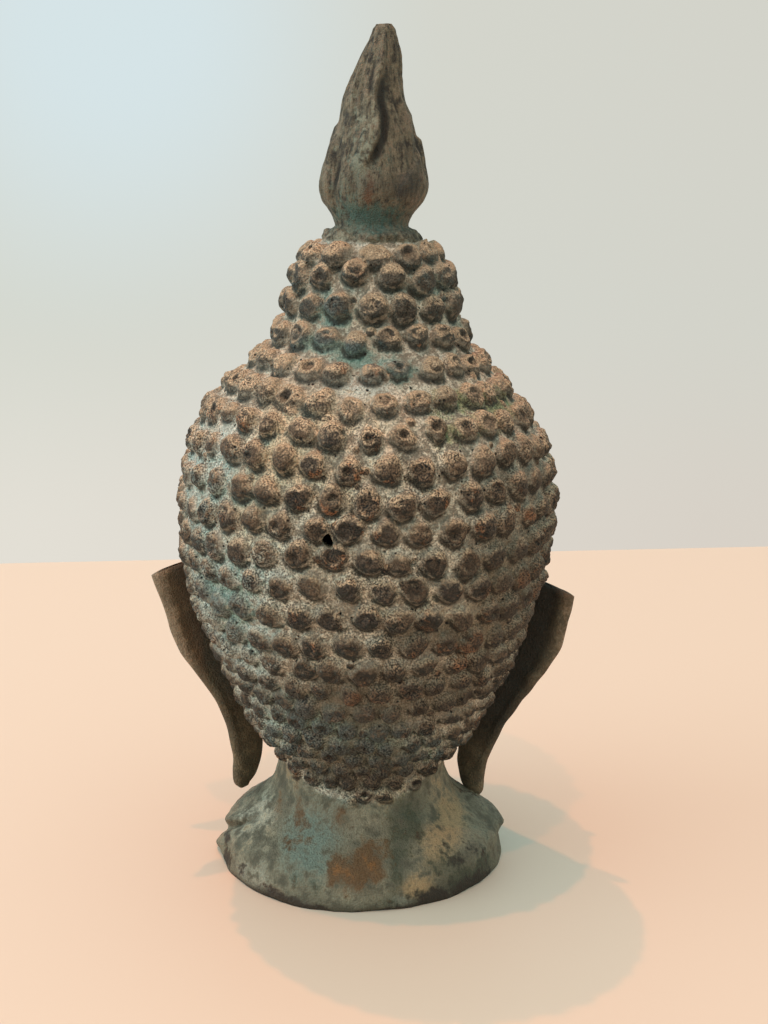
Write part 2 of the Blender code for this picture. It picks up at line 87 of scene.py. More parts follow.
HEAD_OUTLINE = (
    (0.000, RIM_RADIUS),
    (0.020, RIM_RADIUS * 0.982),
    (0.045, RIM_RADIUS * 0.955),
    (0.059, RIM_RADIUS * 0.905),
    (0.072, RIM_RADIUS * 0.828),
    (0.090, NECK_RADIUS * 1.235),
    (0.108, NECK_RADIUS * 1.110),
    (0.135, NECK_RADIUS * 1.030),
    (0.162, NECK_RADIUS),
    (0.190, NECK_RADIUS * 1.080),
    (0.225, HEAD_RADIUS * 0.610),
    (0.279, HEAD_RADIUS * 0.702),
    (0.369, HEAD_RADIUS * 0.850),
    (0.468, HEAD_RADIUS * 0.962),
    (0.563, HEAD_RADIUS),
    (0.644, HEAD_RADIUS * 0.981),
    (0.721, HEAD_RADIUS * 0.902),
    (0.779, HEAD_RADIUS * 0.735),
    (0.824, CROWN_RADIUS * 1.360),
    (0.860, CROWN_RADIUS * 1.150),
    (0.919, CROWN_RADIUS),
    (0.964, CROWN_RADIUS * 0.870),
    (0.988, COLLAR_RADIUS * 1.170),
)
FLAME_OUTLINE = (
    (0.000, COLLAR_RADIUS * 1.12),
    (0.012, COLLAR_RADIUS * 1.09),
    (0.024, COLLAR_RADIUS * 0.98),
    (0.042, FLAME_NECK_RADIUS),
    (0.096, FLAME_NECK_RADIUS * 1.08),
    (0.165, FLAME_RADIUS * 0.97),
    (0.237, FLAME_RADIUS * 1.03),
    (0.380, FLAME_RADIUS * 0.91),
    (0.500, FLAME_RADIUS * 0.80),
    (0.560, FLAME_RADIUS * 0.73),
    (0.740, FLAME_RADIUS * 0.53),
    (0.880, FLAME_RADIUS * 0.37),
    (0.950, FLAME_TIP_RADIUS * 1.12),
    (0.982, FLAME_TIP_RADIUS * 0.90),
    (1.000, FLAME_TIP_RADIUS * 0.42),
)
FLAME_BEND = (
    (0, -0.3), (0.06, -0.9), (0.25, -0.3), (0.54, 0.1), (0.65, -0.8),
    (0.72, -0.4), (0.80, 0.6), (0.93, 2.0), (1, 2.4),
)
CREST_LINE = (
    (0.28, -6.5), (0.35, -2.6), (0.41, -1.2), (0.47, 0.3), (0.55, 0.6),
    (0.63, -0.1), (0.72, 0.2), (0.80, 1.0), (0.93, 0.2), (1, 0.5),
)
# The flame's wrinkles: how many run round it, their height in mm and their phase
FLAME_WRINKLES = ((6, 0.34, 0.4), (9, 0.30, 1.9), (14, 0.26, 4.1), (23, 0.20, 2.6), (31, 0.12, 5.2))
OUTLINE = tuple((share * HEAD_HEIGHT, radius) for share, radius in HEAD_OUTLINE) + tuple(
    (HEAD_HEIGHT + share * FLAME_HEIGHT, radius) for share, radius in FLAME_OUTLINE
)
FACE_OUTLINE = (
    (0.160, 0.45),
    (0.182, 0.80),
    (0.205, 0.92),
    (0.250, 0.965),
    (0.340, 0.990),
    (0.430, 1.000),
    (0.530, 0.995),
    (0.620, 0.965),
    (0.700, 0.915),
    (0.800, 0.600),
)
HAIRLINE = (
    (0, 0.690),
    (30, 0.672),
    (55, 0.600),
    (74, 0.480),
    (88, 0.300),
    (98, 0.190),
    (130, 0.160),
    (150, 0.142),
    (180, 0.130),
)
PITCHES = ((0.14, 0.66), (0.22, 0.76), (0.34, 0.90), (0.45, 1.0), (0.74, 1.0), (0.86, 1.06), (1.0, 1.10))

# Where the casting departs from round: how far, at which angle in degrees and share of the head's height,
# and how wide in degrees and how tall as a share of that height
SWELLS = (
    (3.0 * MM, 155, 0.000, 35, 0.040),
    (3.2 * MM, -86, 0.063, 17, 0.027),
    (-1.4 * MM, -97, 0.145, 28, 0.040),
    (-1.6 * MM, -98, 0.450, 35, 0.080),
    (-2.4 * MM, -98, 0.760, 40, 0.065),
)


# Curves and patterns


def eased(x, low, high):
    """0 below low and 1 above high, with a smooth rise between."""
    t = np.clip((np.asarray(x, dtype=float) - low) / (high - low), 0, 1)
    return t * t * (3 - 2 * t)


def bump(x, centre, width):
    """A bell of height 1."""
    return np.exp(-(((np.asarray(x, dtype=float) - centre) / width) ** 2))


def hump(t):
    """A round hump of height 1 between 0 and 1."""
    t = np.clip(t, 0, 1)
    return np.sqrt(np.clip(4 * t * (1 - t), 0, 1))


def smooth_curve(points, x):
    """The value at x of a curve through the points that doesn't overshoot them."""
    knots, values = (np.array(column, dtype=float) for column in zip(*points))
    run = np.diff(knots)
    slope = np.diff(values) / run
    before, after = np.insert(slope, 0, slope[0]), np.append(slope, slope[-1])
    tangent = np.where(before * after > 0, (before + after) / 2, 0)
    limit = 3 * np.minimum(np.abs(before), np.abs(after))
    tangent = np.clip(tangent, -limit, limit)
    x = np.clip(x, knots[0], knots[-1])
    k = np.clip(np.searchsorted(knots, x, side="right") - 1, 0, len(run) - 1)
    t = (x - knots[k]) / run[k]
    level = values[k] * (1 + 2 * t) * (1 - t) ** 2 + values[k + 1] * t * t * (3 - 2 * t)
    return level + run[k] * t * (1 - t) * (tangent[k] * (1 - t) - tangent[k + 1] * t)


def waves(points, length, seed, count=28):
    """A soft random field over points in space, of about unit height and the given wave length."""
    rng = np.random.RandomState(seed)
    field = np.zeros(points.shape[:-1])
    for _ in range(count):
        direction = rng.normal(size=3)
        direction *= rng.uniform(0.6, 1.4) / np.linalg.norm(direction)
        field += np.cos(points @ direction * TURN / length + rng.uniform(0, TURN))
    return field * math.sqrt(2 / count)


def turned(angle):
    """The angle brought between half a turn back and half a turn on."""
    return (np.asarray(angle) + math.pi) % TURN - math.pi


# The form of the head

HEIGHTS = np.linspace(0, OUTLINE[-1][0], 4000)
RADII = smooth_curve(OUTLINE, HEIGHTS)
LEANS = np.arctan(np.gradient(RADII, HEIGHTS))
RUNS = np.hypot(np.diff(HEIGHTS), np.diff(RADII))
REACHES = np.concatenate(([0], np.cumsum(2 * RUNS / (RADII[:-1] + RADII[1:]))))


def reach_at(z):
    return np.interp(z, HEIGHTS, REACHES)


def height_at(reach):
    return np.interp(reach, REACHES, HEIGHTS)


def outline_radius(z):
    return np.interp(z, HEIGHTS, RADII)


def plain_radius(angle, z):
    """The radius of the head without curls or features: round behind, and deeper at the face."""
    side = outline_radius(z)
    depth = FACE_DEPTH * smooth_curve(FACE_OUTLINE, z / HEAD_HEIGHT)
    in_face = (z > FACE_OUTLINE[0][0] * HEAD_HEIGHT) & (z < FACE_OUTLINE[-1][0] * HEAD_HEIGHT)
    front = np.where(in_face, np.maximum(depth, side), side)
    along = np.maximum(np.cos(angle), 0)
    across = np.sqrt(1 - along**2)
    return 1 / np.sqrt((along / front) ** 2 + (across / side) ** 2)


def hairline(angle):
    """The height of the hair's lower edge."""
    points = tuple((math.radians(degrees), share) for degrees, share in HAIRLINE)
    return HEAD_HEIGHT * smooth_curve(points, np.abs(turned(angle)))


def curl_pitch(z):
    return CURL_PITCH * smooth_curve(PITCHES, z / HEAD_HEIGHT)


def in_hair(places):
    """Whether a curl's middle can stand at each place, between the hairline and the collar."""
    z = height_at(places[:, 1])
    low = hairline(places[:, 0]) + HAIR_MARGIN * curl_pitch(z)
    return (z > low) & (z < (TOP_ROW + TOP_MARGIN) * HEAD_HEIGHT)


def curl_places():
    """Staggered rows of curls over the hair, spread until they stand a pitch apart, as on the solid."""
    rng = np.random.RandomState(CURL_SEED)
    rows = []
    reach = reach_at(TOP_ROW * HEAD_HEIGHT)
    while reach > reach_at(HAIRLINE[-1][1] * HEAD_HEIGHT):
        z = height_at(reach)
        pitch = curl_pitch(z) / outline_radius(z)
        count = max(5, round(TURN / pitch))
        stray = rng.uniform(-1, 1, (count, 2)) * CURL_STRAY * pitch
        angles = TURN * (np.arange(count) + len(rows) % 2 / 2) / count - math.pi
        rows.append(np.column_stack([angles, np.full(count, reach)]) + stray)
        reach -= ROW_GAP * pitch
    places = np.concatenate(rows)
    places = places[in_hair(places)]
    for _ in range(SPREAD_STEPS):
        z = height_at(places[:, 1])
        pitch = curl_pitch(z) / outline_radius(z)
        gap = places[:, None, :] - places[None, :, :]
        gap[:, :, 0] = turned(gap[:, :, 0])
        apart = np.hypot(gap[:, :, 0], gap[:, :, 1])
        np.fill_diagonal(apart, TURN)
        short = np.clip(pitch[:, None] - apart, 0, None)
        push = SPREAD_SHARE * (gap / apart[:, :, None] * short[:, :, None]).sum(axis=1)
        free = in_hair(places + push)
        places[free] += push[free]
    return places


# The relief


def casting_relief(angle, z):
    """How far the casting stands out of the round."""
    relief = np.zeros_like(angle)
    for amount, degrees, height, width, rise in SWELLS:
        off = turned(angle - math.radians(degrees))
        at_height = bump(z, height * HEAD_HEIGHT, rise * HEAD_HEIGHT)
        relief += amount * bump(off, 0, math.radians(width)) * at_height
    return relief


def face_relief(angle, z):
    """The features of a calm, plain face with lowered lids, out of the head, and where painted shade lies in
    its creases.
    """
    unit = HEAD_HEIGHT / FACE_UNITS
    x = np.abs(plain_radius(angle, z) * np.sin(angle)) / unit
    z = (z - CHIN_HEIGHT) / unit

    # The nose, one line with the brows
    ridge = smooth_curve(
        ((34, 0), (36.5, 8.2), (40.5, 12.2), (46, 11.2), (60, 7.5), (70, 4.8), (78, 2.6), (92, 0)), z
    )
    ridge_width = smooth_curve(((36, 6.4), (41, 6.6), (50, 5.2), (64, 4.6), (76, 5.4), (92, 10)), z)
    nose = ridge * np.exp(-np.abs(x / ridge_width) ** 2.1)
    wings = 4.4 * np.clip(1 - ((x - 7.6) / 4.6) ** 2 - ((z - 39.2) / 5.2) ** 2, 0, 1) ** 0.7
    nose = np.maximum(nose, wings + 0.55 * nose)
    brow_line = smooth_curve(
        ((0, 60), (5.5, 66), (9, 73), (16, 78.2), (25, 80), (34, 78.2), (43, 72.5), (50, 66)), x
    )
    brows = 1.2 * bump(z, brow_line + 1, 2) * eased(x, 5, 10) * eased(-x, -46, -32)
    sockets = eased(brow_line - z, -1, 7) * eased(z, 42, 60) * eased(x, 3.5, 11) * eased(-x, -44, -29)

    # The eyes, a ball behind two lids that meet in a long, lowered line
    across = x - 22.5
    slit = 56.4 + 0.015 * across**2 + 0.06 * across
    ball = 6.2 * np.clip(1 - (across / 15.5) ** 2 - ((z - 60) / 10) ** 2, 0, 1) ** 0.75
    inside = np.clip(1 - (across / 15) ** 2, 0, 1)
    upper_lid = eased(z - slit, -0.3, 0.6) * eased(inside, 0, 0.5) * eased(slit - z, -11, -5)
    lower_lid = 0.5 * eased(slit - z, 0.2, 1.6) * eased(inside, 0, 0.5) * eased(z - slit, -5.5, -3)
    lid_gap = -0.8 * bump(z, slit - 0.3, 0.75) * eased(inside, 0, 0.4)
    lid_fold = -0.7 * bump(z, 68 - 0.024 * across**2, 1.2) * eased(inside, 0, 0.5)

    # The cheeks, mouth and chin
    cheeks = 3.2 * bump(x, 29, 15) * bump(z, 38, 17)
    muzzle = 2.8 * bump(x, 0, 17) * bump(z, 26, 11)
    mouth_line = 24.8 + 0.012 * x**2 - 0.7 * bump(x, 0, 3.2)
    taper = np.clip(1 - (x / 16.5) ** 2, 0, 1)
    bow = 1 - 0.18 * bump(x, 0, 2.6)
    above = 0.35 + 0.65 * (z - mouth_line) / (4.9 * taper**0.8 * bow + 0.3)
    below = 0.30 + 0.70 * (mouth_line - z) / (5.6 * taper**0.6 + 0.3)
    lips = taper**0.6 * np.where(z >= mouth_line, 2.4 * hump(above), 2.8 * hump(below))
    parting = -1.1 * bump(z, mouth_line, 0.8) * eased(-x, -18, -14)
    corners = -1.3 * bump(x, 17.5, 3) * bump(z, 28.2, 3)
    groove = (0.3 * bump(x, 3, 1.2) - 0.6 * bump(x, 0, 1.7)) * bump(z, 32.2, 2.6)
    folds = -0.7 * bump(x, 15.5 + 0.35 * (38 - z), 2.8) * bump(z, 34, 6)
    chin = 5.4 * bump(x, 0, 13) * bump(z, 8, 8) - 1.6 * bump(x, 0, 12) * bump(z, 16.6, 2.6)

    eyes = ball + upper_lid + lower_lid + lid_gap + lid_fold
    mouth = muzzle + lips + parting + corners + groove + folds
    features = (nose + brows + eyes + cheeks + mouth + chin) * unit - SOCKET_DEPTH * sockets
    # Painted shade: darker in the lid gaps and folds, along the mouth and at its corners, and beside the
    # nose's wings
    painted_shade = bump(z, slit - 0.3, 0.9) * eased(inside, 0, 0.4)
    painted_shade += 0.6 * bump(z, 68 - 0.024 * across**2, 1.2) * eased(inside, 0, 0.5)
    painted_shade += bump(z, mouth_line, 0.9) * eased(-x, -18, -14) + 0.5 * bump(x, 17.5, 2.5) * bump(z, 28.2, 2.5)
    painted_shade += 0.6 * bump(x, 11.5, 1.5) * bump(z, 38, 3.5)
    in_front = np.cos(angle) > 0
    return np.where(in_front, features, 0) * eased(z, -4, 3), np.where(in_front, painted_shade, 0)


def flame_relief(angle, z):
    """The flame's side tongues, winding crest and upward wrinkles, and where painted shade lies between them
    and beside the crest.
    """
    share = (z - HEAD_HEIGHT) / FLAME_HEIGHT
    rise = eased(share, 0.07, 0.20)
    side = np.sin(angle)
    reach = np.abs(side)

    # A tongue at each side, which ends in a point above the widest part; the right one runs further back
    tip = np.where(side > 0, 0.53, 0.475)
    left_edge = 0.80 + 0.14 * eased(share, 0.30, 0.52)
    right_edge = 0.42 + 0.50 * eased(share, 0.20, 0.44)
    edge = np.where(side > 0, left_edge, right_edge)
    tongue = 1.3 * MM * eased(reach, edge, edge + 0.09) * eased(tip - share, -0.01, 0.02) * rise

    # The crest at the back, which falls off sharply on its right, and a plainer one in front
    back = turned(angle - math.pi)
    radius = outline_radius(z) / MM
    off = back * radius - smooth_curve(CREST_LINE, share)
    crest = np.where(off > 0, np.exp(-((off / 0.8) ** 2)), np.exp(-((off / 4.2) ** 2)))
    crest = 2.3 * MM * crest * eased(share, 0.27, 0.44) * (1 - 0.55 * eased(share, 0.75, 1))
    front = 1.2 * MM * bump(turned(angle) * radius, 0, 3.2) * eased(share, 0.20, 0.42)

    # Wrinkles that sway as they rise
    wrinkles = np.zeros_like(angle)
    for lines, height, phase in FLAME_WRINKLES:
        sway = 1.5 * np.sin(TURN * share * 0.8 + phase) + 0.5 * np.sin(TURN * share * 2.3 + 2 * phase)
        swell = 0.55 + 0.45 * np.sin(TURN * share * 1.7 + 3 * phase + 2 * angle)
        wrinkles += height * swell * np.cos(lines * angle + phase + sway)
    wrinkles *= 1.25 * MM * eased(share, 0.08, 0.22) * (1 - 0.5 * eased(share, 0.7, 1))
    # Painted shade in the wrinkles' valleys and beside the crest
    valleys = eased(-wrinkles / MM, 0.25, 1.1) + crest_shade(angle, z)
    relief = (crest + front) * rise + tongue + wrinkles
    return np.where(share > 0, relief, 0), np.where(share > 0, valleys, 0)


def crest_shade(angle, z):
    """The hollow at the right foot of the flame's crest, where painted shade lies."""
    share = (z - HEAD_HEIGHT) / FLAME_HEIGHT
    off = turned(angle - math.pi) * outline_radius(z) / MM - smooth_curve(CREST_LINE, share)
    return bump(off, 2.2, 1.7) * eased(share, 0.28, 0.40) * (1 - eased(share, 0.66, 0.86))


def foot_relief(angle, z):
    """The foot's worn lower edge, and the lip, notch, crease and tabs left at its sides by the casting."""
    z = z / MM
    left = turned(angle - math.radians(97))
    right = turned(angle + math.radians(93))
    lip = 1.4 * bump(z, 12.6 + 23 * left, 1.5) * bump(left, 0, 0.20)
    notch = -3.4 * bump(z, 8.8 + 23 * left, 1.6) * bump(left, 0.02, 0.24)
    crease = -1.1 * bump(z, 9.5 + 34 * (left - 0.05), 1.1)
    crease *= eased(left, 0.02, 0.10) * (1 - eased(left, 0.28, 0.40))
    toe = 2.2 * bump(z, 3.2 + 14 * left, 2.2) * bump(left, 0, 0.14)
    ridge = 1.3 * bump(turned(angle + math.radians(110)), 0, 0.07) * bump(z, 19, 9)
    tab = 1.5 * bump(z, 11.8, 1.4) * bump(right, 0, 0.08) + 1.3 * bump(z, 17, 4) * bump(right, 0.05, 0.25)
    hollow = -1.0 * bump(z, 7.5, 2.6) * bump(right, 0, 0.30)
    worn = -1.0 * (1 - eased(z, 0, 1.8)) * (0.9 + 0.5 * np.sin(5 * angle + 1) * np.sin(13 * angle))
    return MM * (lip + notch + crease + toe + ridge + tab + hollow + worn)


def collar_relief(angle, z):
    """The collar under the finial is uneven, as if pressed on by hand."""
    at_collar = bump(z, HEAD_HEIGHT + 1.0 * MM, 2.0 * MM)
    wobble = 0.9 * np.sin(2 * angle + 0.7) + 0.5 * np.sin(5 * angle + 2) + 0.3 * np.sin(9 * angle)
    return MM * wobble * at_collar


# The skin, as a grid of heights up the outline and angles round the axis


def skin_rows():
    """Heights up the outline that stand an even step apart along it."""
    run = np.concatenate(([0], np.cumsum(RUNS)))
    return np.interp(np.linspace(0, run[-1], round(run[-1] / ROW_STEP)), run, HEIGHTS)


def skin_columns():
    """Angles all round, closer together at the back."""
    angles = np.linspace(-math.pi, math.pi, 3000)
    step = BACK_STEP + (FRONT_STEP - BACK_STEP) * eased(np.cos(angles), -0.1, 0.2)
    count = np.concatenate(([0], np.cumsum(np.diff(angles) * HEAD_RADIUS / step[1:])))
    return np.interp(np.linspace(0, count[-1], round(count[-1]), endpoint=False), count, angles)


def curl_rise(across, up, size, height, look):
    """The rise of one worn curl over the ground, and how deep in its hollow each point lies."""
    around = np.arctan2(up, across)
    outline = 1 + look["oval"] * np.cos(2 * around + look["turn"])
    outline += look["corner"] * np.cos(3 * around + 2 * look["turn"])
    outline += look["corner"] * 0.6 * np.cos(5 * around + 3 * look["turn"])
    share = np.hypot(across, up) / (size * outline)
    dome = np.clip(1 - share**2.8, 0, 1) ** 0.70

    # A hollow with a rim round it, which is open on one side, and a knob or the end of a whorl inside
    inner = np.hypot(across / size + look["left"], up / size + look["below"])
    hollow = look["hollow"] * eased(0.62 - inner, 0, 0.30)
    wind = (around + look["turn"]) % TURN / TURN
    groove = bump(inner, 0.22 + 0.42 * wind, 0.10) * eased(wind, 0, 0.15) * eased(1 - wind, 0, 0.2)
    knob = look["knob"] * bump(inner, 0, 0.17)
    pit = look["pit"] * bump(inner, 0.12, 0.15)
    fall = (hollow + look["whorl"] * groove - knob + pit) * eased(dome, 0.05, 0.5)
    return height * dome * (1 + look["tilt"] * up / size) - CURL_HOLLOW * fall, fall, share


def near(places, middle, radius, limit):
    """Which of these places along one direction lie within the limit of the middle."""
    return np.flatnonzero(np.abs(turned(places - middle)) * radius < limit)


def press_curls(lift, marks, rows, columns):
    """Raises a curl at each place over the grid of the skin."""
    rng = np.random.RandomState(CURL_SEED + 1)
    reaches = reach_at(rows)
    for angle, reach in curl_places():
        z = height_at(reach)
        radius = outline_radius(z)
        pitch = curl_pitch(z)
        angle += rng.uniform(-0.9, 0.9) * MM / radius
        reach += (rng.uniform(-0.8, 0.8) + math.sin(4 * angle + z / (14 * MM))) * MM / radius
        size = pitch * rng.uniform(0.37, 0.47)
        height = CURL_HEIGHT * (pitch / CURL_PITCH) ** 0.8 * rng.uniform(0.85, 1.15)
        look = {
            "turn": rng.uniform(0, TURN),
            "oval": rng.uniform(0, 0.13),
            "corner": rng.uniform(0, 0.08),
            "left": rng.uniform(-0.16, 0.28),
            "below": rng.uniform(-0.05, 0.30),
            "hollow": max(0, rng.uniform(-0.4, 1.0)),
            "whorl": rng.uniform(0, 0.6),
            "knob": rng.uniform(-0.3, 0.6),
            "pit": 1.6 * (rng.uniform(0, 1) > 0.86),
            "tilt": rng.uniform(-0.20, 0.08),
        }
        near_rows = near(reaches, reach, radius, 1.4 * size)
        near_columns = near(columns, angle, radius, 1.4 * size)
        across = turned(columns[near_columns] - angle)[None, :] * radius
        up = (reaches[near_rows] - reach)[:, None] * radius
        rise, fall, share = curl_rise(across, up, size, height, look)

        block = np.ix_(near_rows, near_columns)
        higher = (rise > lift[block]) & (share < 1)
        lift[block] = np.where(higher, rise, lift[block])
        lift[block] = np.maximum(lift[block], 0.3 * MM * (1 - eased(share, 0.92, 1.35)))
        marks["curl"][block] = np.maximum(marks["curl"][block], np.clip(1.15 - share, 0, 1))
        marks["dip"][block] = np.where(higher, np.clip(fall, 0, 1.5), marks["dip"][block])
        marks["tone"][block] = np.where(share < 1.15, rng.uniform(0, 1), marks["tone"][block])
        # Painted shade: a ring under each curl's lower side, which the material darkens
        lower = -up / size * math.cos(look["left"]) - 0.25 * across / size
        under = bump(share, 1.05, 0.26) * eased(lower, -0.15, 0.85)
        marks["under"][block] = np.maximum(marks["under"][block], under)


KNOBS = 90
# Knobs and pits that stand out: degrees right of the middle of the back, mm up, radius and height in mm
SINGLE_KNOBS = ((96.5, 103, 3.8, 6.5), (-14, 124, 1.5, 1.0), (12, 138, 1.2, 1.0), (-30, 168, 2.0, 1.6))
SINGLE_PITS = (
    (13, 123, 1.5, 3.0), (-8, 162, 0.8, 1.6), (26, 162, 0.9, 1.6), (-52, 112, 1.3, 2.2), (33, 96, 1.0, 1.8),
)


def press_spot(lift, marks, rows, columns, spot):
    """Raises a small knob on the ground, or sinks a pit where the height is below 0."""
    angle, reach, size, height = spot
    reaches = reach_at(rows)
    radius = outline_radius(height_at(reach))
    near_rows = near(reaches, reach, radius, 1.2 * size)
    near_columns = near(columns, angle, radius, 1.2 * size)
    across = turned(columns[near_columns] - angle)[None, :] * radius
    up = (reaches[near_rows] - reach)[:, None] * radius
    rise = height * np.clip(1 - (np.hypot(across, up) / size) ** 2.4, 0, 1) ** 0.7
    block = np.ix_(near_rows, near_columns)
    if height > 0:
        lift[block] = np.maximum(lift[block], rise)
        marks["curl"][block] = np.maximum(marks["curl"][block], 0.8 * rise / height)
    else:
        lift[block] += rise
        marks["dip"][block] = np.maximum(marks["dip"][block], 2.0 * rise / height)


def press_spots(lift, marks, rows, columns):
    """Small knobs strewn between the curls, and the few knobs and pits that stand out."""
    rng = np.random.RandomState(CURL_SEED + 2)
    places = curl_places()
    for k in rng.choice(len(places), KNOBS, replace=False):
        angle, reach = places[k]
        z = height_at(reach)
        turn = rng.uniform(0, TURN)
        step = rng.uniform(0.52, 0.62) * curl_pitch(z) / outline_radius(z)
        place = (angle + step * math.cos(turn), reach + step * math.sin(turn))
        size = rng.uniform(1.1, 2.1) * MM
        press_spot(lift, marks, rows, columns, (*place, size, rng.uniform(0.45, 0.75) * size))
    for spots, sign in ((SINGLE_KNOBS, 1), (SINGLE_PITS, -1)):
        for degrees, up, size, height in spots:
            place = (math.pi + math.radians(degrees), float(reach_at(up * MM)))
            press_spot(lift, marks, rows, columns, (*place, size * MM, sign * height * MM))


# The patina's patches: mm right of the axis and above the rim, half width and half height in mm,
# and weight
PATCHES = {
    "teal": (
        (-4, 183, 8, 4, 1.0), (-18, 187, 8, 4, 0.8), (11, 181, 7, 4, 0.8),
        (-50, 132, 20, 34, 0.35), (-40, 100, 16, 24, 0.40), (-24, 60, 18, 18, 0.7),
        (6, 56, 24, 18, 0.75), (-21, 15, 10, 11, 0.95), (-12, 22, 8, 9, 0.6),
        (0, 228.5, 20, 4, 1.1), (-8, 234, 7, 8, 0.5), (46, 16, 5, 9, 0.5), (2, 12, 40, 5, 0.2),
        (4, 223, 12, 3, 0.4), (-5, 252, 5, 12, 0.5), (20, 205, 10, 12, 0.3),
        (0, 208, 34, 12, 0.28), (-14, 196, 9, 9, 0.5),
    ),
    "green": (
        (32, 171, 18, 5, 0.9), (52, 168, 10, 6, 0.7), (28, 162, 14, 4, 0.8), (14, 23, 8, 9, 0.9),
        (12, 10, 4, 8, 0.8), (38, 5, 14, 6, 0.9), (46, 20, 6, 8, 0.7), (0, 212, 34, 9, 0.22),
        (-20, 8, 10, 5, 0.4), (20, 50, 16, 9, 0.5), (12, 2, 30, 3, 0.7), (26, 12, 8, 3, 0.5),
        (3, 21, 4, 8, 0.4), (-46, 4, 14, 5, 0.4), (16, 240, 7, 14, 0.4),
    ),
    "rust": (
        (-2, 12, 8, 6, 1.2), (4, 17, 6, 6, 0.6), (-7, 25, 4, 4, 0.9), (-29, 24, 3, 9, 0.8),
        (-24, 2, 12, 3, 0.5), (-9, 12, 2, 5, 1.0), (-22, 24, 2, 7, 0.8), (-1, 237, 3, 8, 1.0),
        (-16, 231, 3, 4, 0.6), (-14, 140, 3, 3, 0.9), (50, 134, 3, 3, 0.9), (50, 113, 3, 3, 0.9),
        (60, 106, 3, 3, 0.7), (0, 76, 26, 18, 0.3),
    ),
    "tan": (
        (28, 17, 8, 7, 1.2), (19, 6, 7, 4, 1.0), (-30, 34, 5, 12, 0.7), (33, 27, 8, 9, 0.7),
        (-4, 5, 10, 3, 0.3), (-30, 150, 20, 30, 0.35), (-10, 165, 24, 18, 0.45),
        (12, 110, 14, 9, 0.5), (-20, 120, 20, 20, 0.2), (46, 100, 18, 34, 0.35),
        (0, 33, 26, 5, 0.35),
    ),
    "dark": (
        (0, 74, 28, 12, 0.95), (0, 50, 26, 10, 0.85), (0, 41, 22, 5, 0.5), (52, 118, 16, 44, 0.90),
        (22, 98, 14, 5, 0.6), (-4, 36, 30, 7, 0.40), (4, 102, 34, 22, 0.30), (0, -1, 70, 3, 1.0),
        (-24, 1.5, 12, 3, 0.9), (37, 11, 7, 3, 0.9), (-40, 6, 6, 3, 0.4), (34, 3, 16, 4, 0.8),
        (30, 80, 20, 20, 0.3), (10, 204, 8, 6, 0.4), (13, 250, 7, 26, 0.70), (2, 238, 22, 7, 0.60),
        # The patch 49 mm left of the axis and 9 mm up is painted shade in the notch under the foot's lip
        (0, 228, 20, 4, 0.40), (-49, 9, 3, 2, 1.2), (-48, 3, 6, 3, 0.4),
    ),
    "pale": (
        (-52, 128, 22, 44, 0.6), (-42, 88, 18, 26, 0.5), (-30, 60, 12, 14, 0.4),
        (-36, 26, 10, 8, 0.5), (0, 176, 40, 10, 0.3), (6, 206, 18, 12, 0.25), (14, 3, 6, 3, 0.6),
        (-46, 19, 9, 7, 1.2), (-12, 221.5, 8, 3, 0.9), (14, 221.5, 7, 3, 0.7),
        (-4, 250, 6, 18, 0.65), (-38, 4, 8, 5, 0.5), (-14, 34, 10, 5, 0.35),
    ),
}


def zone(name, points, seed):
    """How strongly one kind of patina covers each point: its patches behind, and drifts of it elsewhere."""
    right, up = -points[..., 0] / MM, points[..., 2] / MM
    behind = eased(points[..., 1] / MM, -5, 20)
    weight = np.zeros(right.shape)
    for across, height, half_width, half_height, strength in PATCHES[name]:
        weight += strength * bump(right, across, half_width) * bump(up, height, half_height)
    drift = 0.5 * waves(points, 34 * MM, seed) + 0.25 * waves(points, 13 * MM, seed + 1)
    return np.clip(weight * behind + 0.22 + 0.20 * drift - 0.10 * behind, 0, 1.5)


# What the patina, and the painted shade laid with it, have to know about each point of the bronze
MARKS = ("curl", "dip", "tone", "under", "hair", "crown", "finial", "ear", "edge", "face", *PATCHES)


